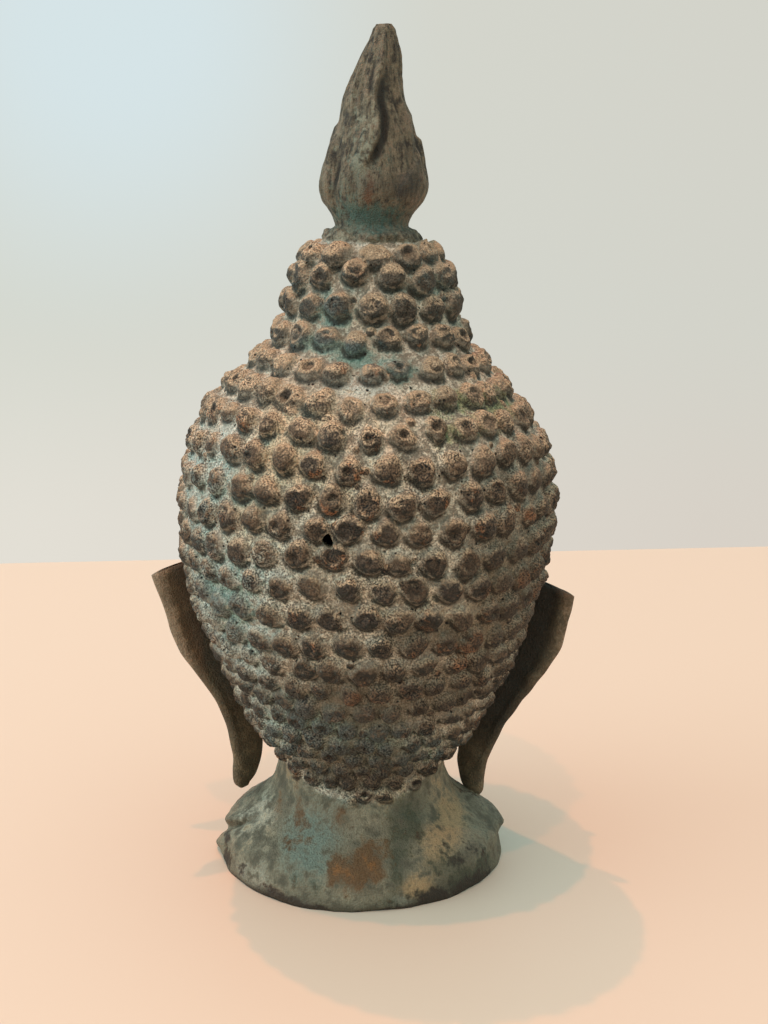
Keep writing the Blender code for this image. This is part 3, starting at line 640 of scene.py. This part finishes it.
def outer_skin():
    """The points of the outside, and their marks."""
    rows, columns = skin_rows(), skin_columns()
    angle, z = np.meshgrid(columns, rows)
    lift = np.zeros_like(angle)
    marks = {name: np.zeros_like(angle) for name in MARKS}
    marks["tone"] += 0.5
    press_curls(lift, marks, rows, columns)
    press_spots(lift, marks, rows, columns)
    # The flame's valleys and the face's creases are marked for painted shade
    flame, valleys = flame_relief(angle, z)
    marks["under"] = np.maximum(marks["under"], valleys)

    features, painted_shade = face_relief(angle, z)
    marks["under"] = np.maximum(marks["under"], painted_shade)
    radius = plain_radius(angle, z) + casting_relief(angle, z) + features
    radius += flame + foot_relief(angle, z) + collar_relief(angle, z)
    edge = hairline(angle)
    hair = eased(z, edge - 0.5 * MM, edge + 1.5 * MM) * (z < 0.99 * HEAD_HEIGHT)
    marks["hair"] = hair
    marks["face"] = eased(np.cos(angle), 0, 0.3) * eased(z, 0.8 * CHIN_HEIGHT, 1.1 * CHIN_HEIGHT)
    marks["crown"] = eased(z, 0.68 * HEAD_HEIGHT, 0.86 * HEAD_HEIGHT)
    marks["finial"] = eased(z, 0.985 * HEAD_HEIGHT, 1.0 * HEAD_HEIGHT)
    base = np.stack([radius * np.sin(angle), -radius * np.cos(angle), z], axis=-1)

    # The casting's unevenness: soft on the bare metal, and rough between the curls
    rough = 0.24 * waves(base, 9 * MM, 11) + 0.13 * waves(base, 3.4 * MM, 12)
    grain = (0.06 + 0.09 * eased(-z, -165 * MM, -125 * MM)) * waves(base, 1.9 * MM, 13, 48)
    calm = np.where((np.cos(angle) > 0) & (z > CHIN_HEIGHT) & (hair < 0.5), 0.35, 1)
    collar = bump(z, HEAD_HEIGHT - 0.5 * MM, 3.2 * MM)
    lumps = 0.45 * waves(base, 7.5 * MM, 14) + 0.25 * waves(base, 2.6 * MM, 15) - 0.3
    lift += MM * (rough * (0.35 + 0.55 * hair) * calm + grain * hair + lumps * collar)

    lean = np.interp(z, HEIGHTS, LEANS)
    out = radius + lift * np.cos(lean)
    side = MM * smooth_curve(FLAME_BEND, np.clip((z - HEAD_HEIGHT) / FLAME_HEIGHT, 0, 1))
    up = np.maximum(z - lift * np.sin(lean), 0)
    points = np.stack([out * np.sin(angle) - side, -out * np.cos(angle), up], axis=-1)
    for number, name in enumerate(PATCHES):
        marks[name] = zone(name, base, 40 + 2 * number)
    return points, marks, columns


def inner_skin(columns):
    """The plain inside of the casting, from its top down to the rim."""
    top = HEAD_HEIGHT - 2.5 * WALL
    heights = np.linspace(top, 0, round(top / INNER_STEP))
    angle, z = np.meshgrid(columns, heights)
    at_eyes = eased(z, CHIN_HEIGHT, 1.5 * CHIN_HEIGHT) * (1 - eased(z, FEATURES_TOP, 1.2 * FEATURES_TOP))
    depth = WALL + SOCKET_DEPTH * eased(np.cos(angle), 0.4, 0.8) * at_eyes
    lean = np.interp(z, HEIGHTS, LEANS)
    out = plain_radius(angle, z) + casting_relief(angle, z) - depth * np.cos(lean)
    up = np.where(z > 0, z + depth * np.sin(lean), 0)
    return np.stack([out * np.sin(angle), -out * np.cos(angle), up], axis=-1)


# Mesh tools


def only(piece):
    """Selects this object and nothing else."""
    bpy.ops.object.select_all(action="DESELECT")
    piece.select_set(True)
    bpy.context.view_layer.objects.active = piece


def apply_all(piece):
    """Applies the piece's modifiers from the top down."""
    only(piece)
    for modifier in list(piece.modifiers):
        bpy.ops.object.modifier_apply(modifier=modifier.name)


def wrapped_grid(name, points):
    """A grid whose points are moved to these rows of points, each of which ends where it starts."""
    rows, columns = points.shape[:2]
    bpy.ops.object.select_all(action="DESELECT")
    bpy.ops.mesh.primitive_grid_add(x_subdivisions=columns, y_subdivisions=rows - 1, size=1)
    piece = bpy.context.object
    piece.name = piece.data.name = name
    closed = np.concatenate([points, points[:, :1]], axis=1)
    piece.data.vertices.foreach_set("co", closed.astype(np.float32).ravel())
    piece.data.update()
    return piece


def mark_points(piece, marks):
    """Gives each point of a wrapped grid these values, for its material to read."""
    for name, values in marks.items():
        attribute = piece.data.attributes.new(name, "FLOAT", "POINT")
        closed = np.concatenate([values, values[:, :1]], axis=1)
        attribute.data.foreach_set("value", closed.astype(np.float32).ravel())


def close_grid(piece):
    """Joins the grid's two sides, closes its ends and turns its faces outwards."""
    only(piece)
    bpy.ops.object.mode_set(mode="EDIT")
    bpy.ops.mesh.select_all(action="SELECT")
    bpy.ops.mesh.remove_doubles(threshold=1e-7)
    bpy.ops.mesh.select_all(action="DESELECT")
    bpy.ops.mesh.select_non_manifold()
    bpy.ops.mesh.fill_holes(sides=0)
    bpy.ops.mesh.select_all(action="SELECT")
    bpy.ops.mesh.normals_make_consistent(inside=False)
    bpy.ops.object.mode_set(mode="OBJECT")


def combine(piece, other, operation):
    """Joins the other object to this one, or cuts it out of it."""
    boolean = piece.modifiers.new(other.name, "BOOLEAN")
    boolean.operation = operation
    boolean.object = other
    apply_all(piece)
    bpy.data.objects.remove(other)


# The ears

EARS = {
    1: {
        "top": (77.9 * MM, 99.2 * MM),
        "tip": (47.6 * MM, 18.4 * MM),
        "lobe_radius": 42.5 * MM,
        "corner": 1.6 * MM,
        "edge": (
            (0, 0), (0.02, 0.01), (0.113, 0.01), (0.203, 0.036), (0.277, 0.086), (0.397, 0.21),
            (0.459, 0.309), (0.556, 0.497), (0.651, 0.674), (0.746, 0.78), (0.798, 0.816),
            (0.914, 0.911), (1, 1),
        ),
    },
    -1: {
        "top": (75.1 * MM, 94.1 * MM),
        "tip": (43.9 * MM, 16.2 * MM),
        "lobe_radius": 39.4 * MM,
        "corner": 3.2 * MM,
        "edge": (
            (0, 0), (0.12, 0.016), (0.20, 0.064), (0.28, 0.150), (0.38, 0.270), (0.485, 0.440),
            (0.58, 0.610), (0.665, 0.750), (0.75, 0.865), (0.83, 0.910), (0.90, 0.950), (1, 1),
        ),
    },
}
EAR_THICKNESS = 5 * MM
EAR_SINK = 2.5 * MM
EAR_FORWARD = 8 * MM
ROOT_ANGLE = math.radians(65)
EAR_ROWS = 90
EAR_COLUMNS = 44
EAR_WIDTHS = ((0, 0.36), (0.015, 0.52), (0.045, 0.74), (0.10, 0.93), (0.18, 1), (1, 1))
EAR_ENDS = ((0, 0.35), (0.02, 0.75), (0.05, 1), (0.975, 1), (0.992, 0.85), (1, 0.5))


def ear_points(side, top, tip, lobe_radius, corner, edge):
    """Rings of points from the lobe's tip to the ear's top: a plate with a thick rolled back edge."""
    around = TURN * np.arange(EAR_COLUMNS) / EAR_COLUMNS
    run = np.sign(np.cos(around)) * np.abs(np.cos(around)) ** 0.62
    depth = np.sign(np.sin(around)) * np.abs(np.sin(around)) ** 0.80
    rolled = eased(run, 0.60, 0.72)
    rings = []
    for share in np.linspace(0, 1, EAR_ROWS):
        z = tip[1] + (top[1] - tip[1]) * share
        out = tip[0] + (top[0] - tip[0]) * smooth_curve(edge, share)
        out -= corner * (1 - hump(min(0.5, share * 12)))
        width = float(smooth_curve(EAR_WIDTHS, share))
        ends = float(smooth_curve(EAR_ENDS, share))
        back = Vector((out, -EAR_FORWARD))
        on_head = float(plain_radius(ROOT_ANGLE, z)) - EAR_SINK
        root = lobe_radius + (on_head - lobe_radius) * float(eased(share, 0.36, 0.48))
        front = Vector((root * math.sin(ROOT_ANGLE), -root * math.cos(ROOT_ANGLE)))
        along = (back - front) / 2 * width
        across = Vector((-along.y, along.x)).normalized() * EAR_THICKNESS / 2 * ends
        thick = 0.60 + 0.40 * np.maximum(rolled, 1 - eased(share, 0.10, 0.40))
        rise = 5.0 * MM * eased(share, 0.5, 1) * (1 - np.clip(1 - (1 - run) * width / 2, 0, 1) ** 2.2)
        x = back.x - along.x * (1 - run) + across.x * depth * thick
        y = back.y - along.y * (1 - run) + across.y * depth * thick
        rings.append(np.column_stack([side * x, y, z + rise]))
    points = np.array(rings)
    points += 0.12 * MM * waves(points, 9 * MM, 70 + side)[..., None]
    shares = np.linspace(0, 1, EAR_ROWS)[:, None]
    return points, eased(run, 0.30, 1.0) * eased(shares, 0.25, 0.70), shares + 0 * run


def make_ear(side):
    points, strip, shares = ear_points(side, **EARS[side])
    ear = wrapped_grid("ear", points)
    marks = {name: np.zeros(points.shape[:2]) for name in MARKS}
    marks.update({name: zone(name, points, 60 + side) * 0.6 for name in PATCHES})
    marks["ear"] += 1
    marks["edge"] = strip
    # Painted shade: the right ear is darker all over, and both are darker inside the back edge, less so
    # towards the lobe
    marks["dark"] = (0.35 * (side < 0) + 0.65 * (1 - strip)) * (0.25 + 0.75 * eased(shares, 0.10, 0.50))
    mark_points(ear, marks)
    close_grid(ear)
    return ear


def join_ear(head, ear):
    """Joins an ear to the head, where its points keep their marks."""
    places = KDTree(len(ear.data.vertices))
    for vertex in ear.data.vertices:
        places.insert(vertex.co, vertex.index)
    places.balance()
    marks = {name: [item.value for item in ear.data.attributes[name].data] for name in MARKS}
    combine(head, ear, "UNION")
    for point in head.data.vertices:
        _, match, apart = places.find(point.co)
        if apart < 1e-6:
            for name in MARKS:
                head.data.attributes[name].data[point.index].value = marks[name][match]


# The head


def make_head():
    outer, marks, columns = outer_skin()
    inner = inner_skin(columns)
    head = wrapped_grid("bronze_head", np.concatenate([inner, outer]))
    plain = np.zeros(inner.shape[:2])
    mark_points(head, {name: np.concatenate([plain, values]) for name, values in marks.items()})
    close_grid(head)

    thin = head.modifiers.new("thin", "DECIMATE")
    thin.ratio = HEAD_TRIANGLES / (2 * len(head.data.polygons))
    apply_all(head)
    for side in (1, -1):
        join_ear(head, make_ear(side))
    combine(head, make_pinhole(), "DIFFERENCE")

    head.data.transform(Matrix.Translation(AXIS))
    only(head)
    bpy.ops.object.shade_smooth()
    return head


PINHOLE = np.array([12.5 * MM, 0, 130 * MM])  # its place, from behind the axis
PINHOLE_RADIUS = 1.7 * MM


def make_pinhole():
    """A short, uneven bar through the wall at the back, for the hole that the casting left."""
    bpy.ops.object.select_all(action="DESELECT")
    bpy.ops.mesh.primitive_cylinder_add(
        vertices=14,
        radius=PINHOLE_RADIUS,
        depth=0.5 * HEAD_RADIUS,
        location=tuple(PINHOLE + [0, HEAD_RADIUS, 0]),
        rotation=(math.pi / 2, 0, 0),
    )
    pin = bpy.context.object
    bpy.ops.object.transform_apply(location=True, rotation=True, scale=True)
    points = np.array([vertex.co for vertex in pin.data.vertices])
    off = points - PINHOLE
    turn = np.arctan2(off[:, 2], off[:, 0])
    wide = 1 + 0.14 * np.cos(2 * turn - 2.0) + 0.12 * np.cos(3 * turn + 1.0)
    points[:, 0] += off[:, 0] * (wide - 1)
    points[:, 2] += off[:, 2] * (1.15 * wide - 1)
    pin.data.vertices.foreach_set("co", points.astype(np.float32).ravel())
    return pin


# Materials


def linear(colour):
    """The linear colour, with alpha, of an sRGB hex value."""
    shares = [int(colour[k : k + 2], 16) / 255 for k in (1, 3, 5)]
    return tuple(c / 12.92 if c < 0.04045 else ((c + 0.055) / 1.055) ** 2.4 for c in shares) + (1,)


def add(tree, kind, inputs, out=0, **settings):
    """Adds a shader node with these settings and gives one of its outputs. An input is a value or a link."""
    node = tree.nodes.new("ShaderNode" + kind)
    for name, value in settings.items():
        setattr(node, name, value)
    for key, value in inputs.items():
        if isinstance(value, bpy.types.NodeSocket):
            tree.links.new(value, node.inputs[key])
        else:
            node.inputs[key].default_value = value
    return node.outputs[out]


def total(tree, start, *parts):
    """The start, and each part times its weight."""
    for part, weight in parts:
        start = add(tree, "Math", {0: part, 1: weight, 2: start}, operation="MULTIPLY_ADD")
    return start


def lay(tree, under, colour, amount, low, high, share=1.0):
    """Lays a colour over what lies there, where the amount passes from low to high."""
    cover = add(tree, "MapRange", {0: amount, 1: low, 2: high, 4: share}, interpolation_type="SMOOTHSTEP")
    over = colour if isinstance(colour, bpy.types.NodeSocket) else linear(colour)
    return add(tree, "Mix", {0: cover, 6: under, 7: over}, out=2, data_type="RGBA")


def lay_patches(tree, under, noise, mark, layers):
    """Lays patches of patina over what lies there, with edges that the noise makes ragged."""
    for colour, weight, name, low, high, share in layers:
        amount = total(tree, 0, (noise, weight), (mark[name], 1))
        under = lay(tree, under, colour, amount, low, high, share)
    return under


# Patches of patina: the colour, the noise's weight, the mark that places it, the amounts from which and at
# which it covers, and how fully it does
DUST_LAYERS = (
    ("#BDBEB3", 0.8, "pale", 0.30, 0.85, 1.0),
    ("#C4AC8C", 0.8, "tan", 0.30, 0.90, 0.8),
)
GROUND_LAYERS = (
    ("#8C9269", 0.9, "green", 0.50, 1.05, 1.0),
    ("#5E513F", 0.9, "dark", 0.30, 0.90, 0.8),
)
SKIN_LAYERS = (
    ("#BDB8A6", 1.0, "pale", 0.35, 1.1, 0.9),
    ("#AE8F69", 1.3, "tan", 0.35, 1.1, 0.9),
    ("#6C7A6F", 1.6, "teal", 0.35, 1.4, 0.85),
    ("#444534", 1.3, "green", 0.40, 1.1, 0.9),
    ("#644425", 1.4, "rust", 0.40, 1.1, 0.9),
    ("#96602F", 1.8, "rust", 1.45, 2.1, 0.55),
    ("#34281F", 1.1, "dark", 0.45, 1.1, 0.9),
)
FINIAL_LAYERS = (
    ("#9C9580", 1.2, "pale", 0.40, 1.1, 0.8),
    ("#434D3B", 1.0, "green", 0.40, 1.1, 0.7),
    ("#6E4A33", 1.4, "rust", 0.50, 1.1, 0.85),
    ("#3A3630", 0.8, "dark", 0.40, 1.1, 0.8),
)

# The noises of the crust: the width of one blotch, how much finer detail it has and how rough that is, and
# a number that sets it apart
CRUST = {
    "grit": (0.60 * MM, 0.5, 0.60, 0.0),
    "sand": (1.5 * MM, 2.0, 0.65, 3.1),
    "grain": (2.2 * MM, 4.0, 0.65, 5.3),
    "blotch": (5.5 * MM, 3.0, 0.60, 7.7),
    "drift": (16 * MM, 2.0, 0.50, 11.9),
}


def patinated_bronze():
    """Cast bronze under an old crust: brown curls rubbed sandy and with a painted highlight on top and
    painted shade under them, pale dust and green salts between.
    """
    material = bpy.data.materials.new("patinated_bronze")
    material.use_nodes = True
    tree = material.node_tree
    shader = tree.nodes["Principled BSDF"]
    place = add(tree, "TexCoord", {}, out="Object")
    crust = {}
    for name, (length, detail, roughness, apart) in CRUST.items():
        noise = {"Vector": place, "W": apart, "Scale": 1 / length, "Detail": detail, "Roughness": roughness}
        crust[name] = add(tree, "TexNoise", noise, noise_dimensions="4D")
    mark = {name: add(tree, "Attribute", {}, out="Fac", attribute_name=name) for name in MARKS}
    normal = add(tree, "NewGeometry", {}, out="Normal")
    upward = add(tree, "SeparateXYZ", {"Vector": normal}, out="Z")
    sand, grain, blotch = crust["sand"], crust["grain"], crust["blotch"]
    ragged = total(tree, -1.9, (grain, 1.5), (blotch, 1.3), (sand, 1.0))
    fine = total(tree, -1.25, (grain, 1.0), (sand, 1.5))

    # Between the curls: pale dust, greyer in the drifts, with teal and green salts, and painted shade under
    # each curl
    ground = lay(tree, linear("#8A7E6D"), "#D2C4AF", total(tree, 0, (blotch, 1), (fine, 0.8)), 0.36, 0.64)
    ground = lay_patches(tree, ground, ragged, mark, DUST_LAYERS)
    salts = total(tree, 0, (ragged, 0.9), (mark["under"], 0.40), (mark["teal"], 1))
    ground = lay(tree, ground, "#7F9184", salts, 0.40, 0.95)
    ground = lay(tree, ground, "#527769", salts, 1.00, 1.60)
    ground = lay_patches(tree, ground, ragged, mark, GROUND_LAYERS)
    # Painted shade: nearly black under each curl, broken up by the noise
    painted_shade = total(tree, 0, (mark["under"], 1.0), (ragged, 0.7))
    ground = lay(tree, ground, "#262219", painted_shade, 0.25, 0.95, 0.92)

    # The curls: sandy where they face up, with a painted highlight there, painted shade in dark grey-green
    # under them, dark inside, and greyer on the crown
    # Painted highlight: the sand is laid more where the surface faces up, as if lit from above, and more so
    # on the crown
    on_top = add(tree, "Math", {0: mark["crown"], 1: upward}, operation="MULTIPLY")
    lit = total(tree, 0.34, (upward, 0.75), (ragged, 0.9), (mark["tone"], 0.15), (mark["curl"], -0.38))
    lit = total(tree, lit, (mark["crown"], -0.30), (on_top, 0.85))
    toned = total(tree, 0, (mark["tone"], 1), (ragged, 0.5))
    curl = lay(tree, linear("#5C4938"), "#382F28", toned, 0.45, 1.0)
    curl = lay(tree, curl, "#403E36", mark["crown"], 0, 1, 0.65)
    curl = lay(tree, curl, "#AE9478", lit, 0.20, 0.85)
    # Painted shade: dark grey-green where the surface faces down
    curl = lay(tree, curl, "#24241E", total(tree, 0, (upward, -1.0), (ragged, 0.7)), -0.08, 0.52)
    curl = lay(tree, curl, "#ABA493", total(tree, 0, (mark["pale"], 0.9), (ragged, 0.9)), 0.55, 1.10, 0.8)
    ember = total(tree, 0, (blotch, 1), (sand, 0.5), (mark["tone"], 0.12), (mark["rust"], 0.45))
    ember = total(tree, ember, (mark["crown"], -0.08))
    curl = lay(tree, curl, "#8C5D3D", ember, 0.97, 1.14, 0.75)
    curl = lay(tree, curl, "#52605E", total(tree, 0, (ragged, 1.0), (mark["teal"], 1)), 0.35, 1.0, 0.75)
    curl = lay(tree, curl, "#2B2117", total(tree, 0, (mark["dip"], 1), (ragged, 0.6)), 0.25, 1.10, 0.60)
    curl = lay(tree, curl, "#45392D", total(tree, 0, (ragged, 0.8), (mark["dark"], 1)), 0.45, 1.1, 0.6)
    hair = lay(tree, ground, curl, total(tree, 0, (mark["curl"], 1), (ragged, 0.5)), 0.08, 0.46)

    # The smooth skin of the foot and the face, in soft clouds that are calmer on the face
    stretched = add(tree, "Mapping", {"Vector": place, "Scale": (1, 1, 0.16)})
    strands = {"Vector": stretched, "Scale": 1 / (1.5 * MM), "Detail": 4.0, "Roughness": 0.7}
    streak = add(tree, "TexNoise", strands, noise_dimensions="3D")
    cloud = total(tree, -2.15, (blotch, 2.1), (crust["drift"], 1.1), (streak, 0.6), (sand, 0.5))
    calm = add(tree, "MapRange", {0: mark["face"], 3: 1.0, 4: 0.45})
    cloud = add(tree, "Math", {0: cloud, 1: calm}, operation="MULTIPLY")
    skin = lay(tree, linear("#5A5343"), "#9A8F77", total(tree, 0.5, (cloud, 0.9)), 0.10, 0.90)
    skin = lay_patches(tree, skin, cloud, mark, SKIN_LAYERS)
    # Painted shade in the face's creases and wherever else the under mark lies
    skin = lay(tree, skin, "#2B241B", total(tree, 0, (mark["under"], 1), (cloud, 0.4)), 0.25, 1.0, 0.8)

    # The finial: grey-brown with streaks that run up it, painted shade beside the crest and in its wrinkles'
    # valleys, and salts at its neck
    flow = total(tree, -0.80, (streak, 2.4), (ragged, 0.9))
    finial = lay(tree, linear("#302A23"), "#857963", flow, -0.20, 0.95)
    finial = lay(tree, finial, "#806A59", total(tree, 0, (blotch, 1), (streak, 0.8)), 0.90, 1.15, 0.7)
    crusted = total(tree, 0, (ragged, 1.3), (streak, -1.2), (mark["teal"], 1))
    finial = lay(tree, finial, "#4A6B63", crusted, -0.25, 0.75, 0.8)
    finial = lay(tree, finial, "#98A294", total(tree, 0, (ragged, 1.4), (mark["teal"], 0.5)), 0.75, 1.2, 0.6)
    finial = lay(tree, finial, "#24413F", total(tree, 0, (streak, 1.6), (mark["teal"], 0.6)), 1.35, 1.8, 0.7)
    finial = lay_patches(tree, finial, ragged, mark, FINIAL_LAYERS)
    # Painted shade: nearly black in the wrinkles' valleys and beside the crest
    finial = lay(tree, finial, "#1D1914", total(tree, 0, (mark["under"], 1), (streak, 0.5)), 0.35, 1.1, 0.9)

    # The ears: nearly black behind, with painted shade on the right ear and inside the back edge, and a
    # rubbed, paler back edge
    ear = lay(tree, linear("#62533F"), "#8A7458", total(tree, 0, (blotch, 1), (ragged, 0.6)), 0.35, 0.85)
    # Painted shade, where the ear's dark mark lies
    ear = lay(tree, ear, "#28221B", total(tree, 0, (mark["dark"], 1), (ragged, 0.4)), 0.10, 0.95, 0.92)
    rubbed = total(tree, 0, (mark["edge"], 1), (mark["dark"], -0.9), (ragged, 0.9))
    ear = lay(tree, ear, "#94806A", rubbed, 0.35, 1.1, 0.85)

    colour = lay(tree, skin, hair, mark["hair"], 0, 1)
    colour = lay(tree, colour, finial, mark["finial"], 0, 1)
    colour = lay(tree, colour, ear, mark["ear"], 0, 1)

    # Sandy grit, coarser than the real one so that it shows, and small black holes here and there
    strength = total(tree, 0.14, (mark["curl"], 0.38), (mark["hair"], 0.37), (mark["finial"], 0.10))
    strength = total(tree, strength, (mark["crown"], -0.30))
    drifts = total(tree, 0, (blotch, 1), (crust["drift"], 1))
    drifts = add(tree, "MapRange", {0: drifts, 1: 0.8, 2: 1.2, 3: 0.45, 4: 1.45})
    strength = add(tree, "Math", {0: strength, 1: drifts}, operation="MULTIPLY")
    grit = add(tree, "MapRange", {0: crust["grit"], 1: 0.36, 2: 0.64, 3: -0.9, 4: 0.9})
    speck = add(tree, "Math", {0: grit, 1: strength, 2: 1.0}, operation="MULTIPLY_ADD")
    colour = add(tree, "Mix", {0: 1.0, 6: colour, 7: speck}, out=2, data_type="RGBA", blend_type="MULTIPLY")
    cells = add(tree, "TexVoronoi", {"Vector": place, "Scale": 1 / (2.6 * MM)}, out="Distance")
    small = add(tree, "MapRange", {0: cells, 1: 0.26, 2: 0.10}, interpolation_type="SMOOTHSTEP")
    rare = add(tree, "MapRange", {0: grain, 1: 0.50, 2: 0.60}, interpolation_type="SMOOTHSTEP")
    pocked = add(tree, "Math", {0: rare, 1: mark["hair"]}, operation="MULTIPLY")
    hole = add(tree, "Math", {0: small, 1: pocked}, operation="MULTIPLY")
    colour = lay(tree, colour, "#120D09", hole, 0, 1)
    tree.links.new(colour, shader.inputs["Base Color"])

    shader.inputs["Metallic"].default_value = 0.12
    tree.links.new(total(tree, 0.60, (grain, 0.3)), shader.inputs["Roughness"])

    height = total(tree, 0, (grain, 0.35), (sand, 0.25), (grit, 0.10), (hole, -0.6))
    furrows = add(tree, "Math", {0: mark["finial"], 1: streak}, operation="MULTIPLY")
    height = total(tree, height, (furrows, 0.9))
    rise = add(tree, "Bump", {"Strength": 1.0, "Distance": 1.0 * MM, "Height": height})
    tree.links.new(rise, shader.inputs["Normal"])
    return material


# The picture: camera, table and light

CAMERA_DISTANCE = 515.8 * MM  # from the foot's axis
CAMERA_HEIGHT = 237.4 * MM
CAMERA_PITCH = math.radians(12.2)
CAMERA_ROLL = math.radians(1.1)
FOCAL_PIXELS = 1500
PICTURE_HEIGHT = 1024
PICTURE_SHIFT = 15.5  # pixels that the axis stands left of the picture's middle


def add_camera():
    camera = bpy.data.cameras.new("camera")
    camera.sensor_width = 36
    camera.lens = camera.sensor_width * FOCAL_PIXELS / PICTURE_HEIGHT
    camera.shift_x = PICTURE_SHIFT / PICTURE_HEIGHT
    camera.clip_start = 0.01
    holder = bpy.data.objects.new("camera", camera)
    bpy.context.scene.collection.objects.link(holder)
    place = AXIS + Vector((0, CAMERA_DISTANCE, CAMERA_HEIGHT))
    look = Vector((0, -math.cos(CAMERA_PITCH), -math.sin(CAMERA_PITCH)))
    turn = look.to_track_quat("-Z", "Y").to_matrix().to_4x4()
    holder.matrix_world = Matrix.Translation(place) @ turn @ Matrix.Rotation(CAMERA_ROLL, 4, "Z")
    bpy.context.scene.camera = holder


TABLE_TURN = math.radians(9.8)  # between the table's far edge and the picture
TABLE_EDGE = 435 * MM  # behind the head
TABLE_WIDTH = 8
TABLE_DEPTH = 4


def add_table():
    """The pale table top. Its far edge stands where the photograph's stands."""
    bpy.ops.object.select_all(action="DESELECT")
    bpy.ops.mesh.primitive_plane_add(size=1)
    table = bpy.context.object
    table.name = "table"
    table.scale = (TABLE_WIDTH, TABLE_DEPTH, 1)
    table.rotation_euler = (0, 0, TABLE_TURN)
    middle = Vector((0, TABLE_DEPTH / 2 - TABLE_EDGE, 0))
    table.location = Matrix.Rotation(TABLE_TURN, 3, "Z") @ middle
    bpy.ops.object.transform_apply(location=True, rotation=True, scale=True)
    material = bpy.data.materials.new("pale_laminate")
    material.use_nodes = True
    shader = material.node_tree.nodes["Principled BSDF"]
    shader.inputs["Base Color"].default_value = linear("#E6CFBB")
    shader.inputs["Roughness"].default_value = 0.55
    table.data.materials.append(material)


LAMP_HEIGHT = 10
LAMP_SIZE = 0.20
LAMP_COLOUR = (1.0, 0.305, 0.083)
# The lamps: how far each stands to +X and +Y for each metre of height, and its power
LAMPS = {
    "lamp_beyond": (0.195, -0.365, 242),
    "lamp_overhead": (0.135, 0.045, 192),
    "lamp_near": (0.145, 0.450, 139),
}


def add_lamp(name, lean_x, lean_y, power):
    """A small warm lamp in the ceiling."""
    light = bpy.data.lights.new(name, "AREA")
    light.shape = "DISK"
    light.size = LAMP_SIZE
    light.energy = power
    light.color = LAMP_COLOUR
    holder = bpy.data.objects.new(name, light)
    bpy.context.scene.collection.objects.link(holder)
    place = AXIS + Vector((lean_x * LAMP_HEIGHT, lean_y * LAMP_HEIGHT, LAMP_HEIGHT))
    holder.location = place
    holder.rotation_euler = (AXIS - place).to_track_quat("-Z", "Y").to_euler()


WINDOW_PLACE = Vector((1.3, 0.35, 0.75))
WINDOW_AIM = Vector((0, 0, 0.12))
WINDOW_SIZE = 1.2
WINDOW_POWER = 7
WINDOW_COLOUR = (0.75, 0.95, 1.0)


def add_window():
    """Soft daylight from the left."""
    light = bpy.data.lights.new("window", "AREA")
    light.size = WINDOW_SIZE
    light.energy = WINDOW_POWER
    light.color = WINDOW_COLOUR
    holder = bpy.data.objects.new("window", light)
    bpy.context.scene.collection.objects.link(holder)
    holder.location = WINDOW_PLACE
    holder.rotation_euler = (WINDOW_AIM - WINDOW_PLACE).to_track_quat("-Z", "Y").to_euler()


def add_world():
    """Daylight in the room, and the pale wall behind, which is greyer and warmer to the right."""
    world = bpy.data.worlds.new("room")
    bpy.context.scene.world = world
    world.use_nodes = True
    tree = world.node_tree
    direction = add(tree, "TexCoord", {}, out="Generated")
    across = add(tree, "SeparateXYZ", {"Vector": direction}, out="X")
    height = add(tree, "SeparateXYZ", {"Vector": direction}, out="Z")

    # The wall, as the camera sees it, with a soft glare at the top left
    right = add(tree, "MapRange", {0: across, 1: 0.22, 2: -0.22})
    up = add(tree, "MapRange", {0: height, 1: -0.24, 2: -0.06}, interpolation_type="SMOOTHSTEP")
    low = add(tree, "Mix", {0: right, 6: linear("#E3DFD5"), 7: linear("#D8D1C7")}, out=2, data_type="RGBA")
    high = add(tree, "Mix", {0: right, 6: linear("#D5D8CF"), 7: linear("#D3D3CA")}, out=2, data_type="RGBA")
    wall = add(tree, "Mix", {0: up, 6: low, 7: high}, out=2, data_type="RGBA")
    far = add(tree, "VectorMath", {0: direction, 1: (0.17, -0.98, 0.10)}, out="Value", operation="DISTANCE")
    wall = lay(tree, wall, "#D6E6EB", far, 0.22, 0.03, 0.85)

    # The room, which lights the bronze: brighter above and to the left
    above = add(tree, "MapRange", {0: height, 1: -0.1, 2: 0.9})
    left = add(tree, "MapRange", {0: across, 1: -0.8, 2: 0.9})
    dim, bright = (0.27, 0.28, 0.22, 1), (0.62, 0.87, 0.92, 1)
    sides = add(tree, "Mix", {0: left, 6: dim, 7: bright}, out=2, data_type="RGBA")
    room = add(tree, "Mix", {0: above, 6: sides, 7: (0.71, 0.98, 0.99, 1)}, out=2, data_type="RGBA")

    seen = add(tree, "LightPath", {}, out="Is Camera Ray")
    both = add(tree, "Mix", {0: seen, 6: room, 7: wall}, out=2, data_type="RGBA")
    tree.links.new(both, tree.nodes["Background"].inputs["Color"])
    tree.nodes["Background"].inputs["Strength"].default_value = 1.0


head = make_head()
head.data.materials.clear()
head.data.materials.append(patinated_bronze())
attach(head, "root")
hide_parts("buddha_head")

add_camera()
add_table()
add_world()
for name, lamp in LAMPS.items():
    add_lamp(name, *lamp)
add_window()
bpy.context.scene.view_settings.view_transform = "Standard"
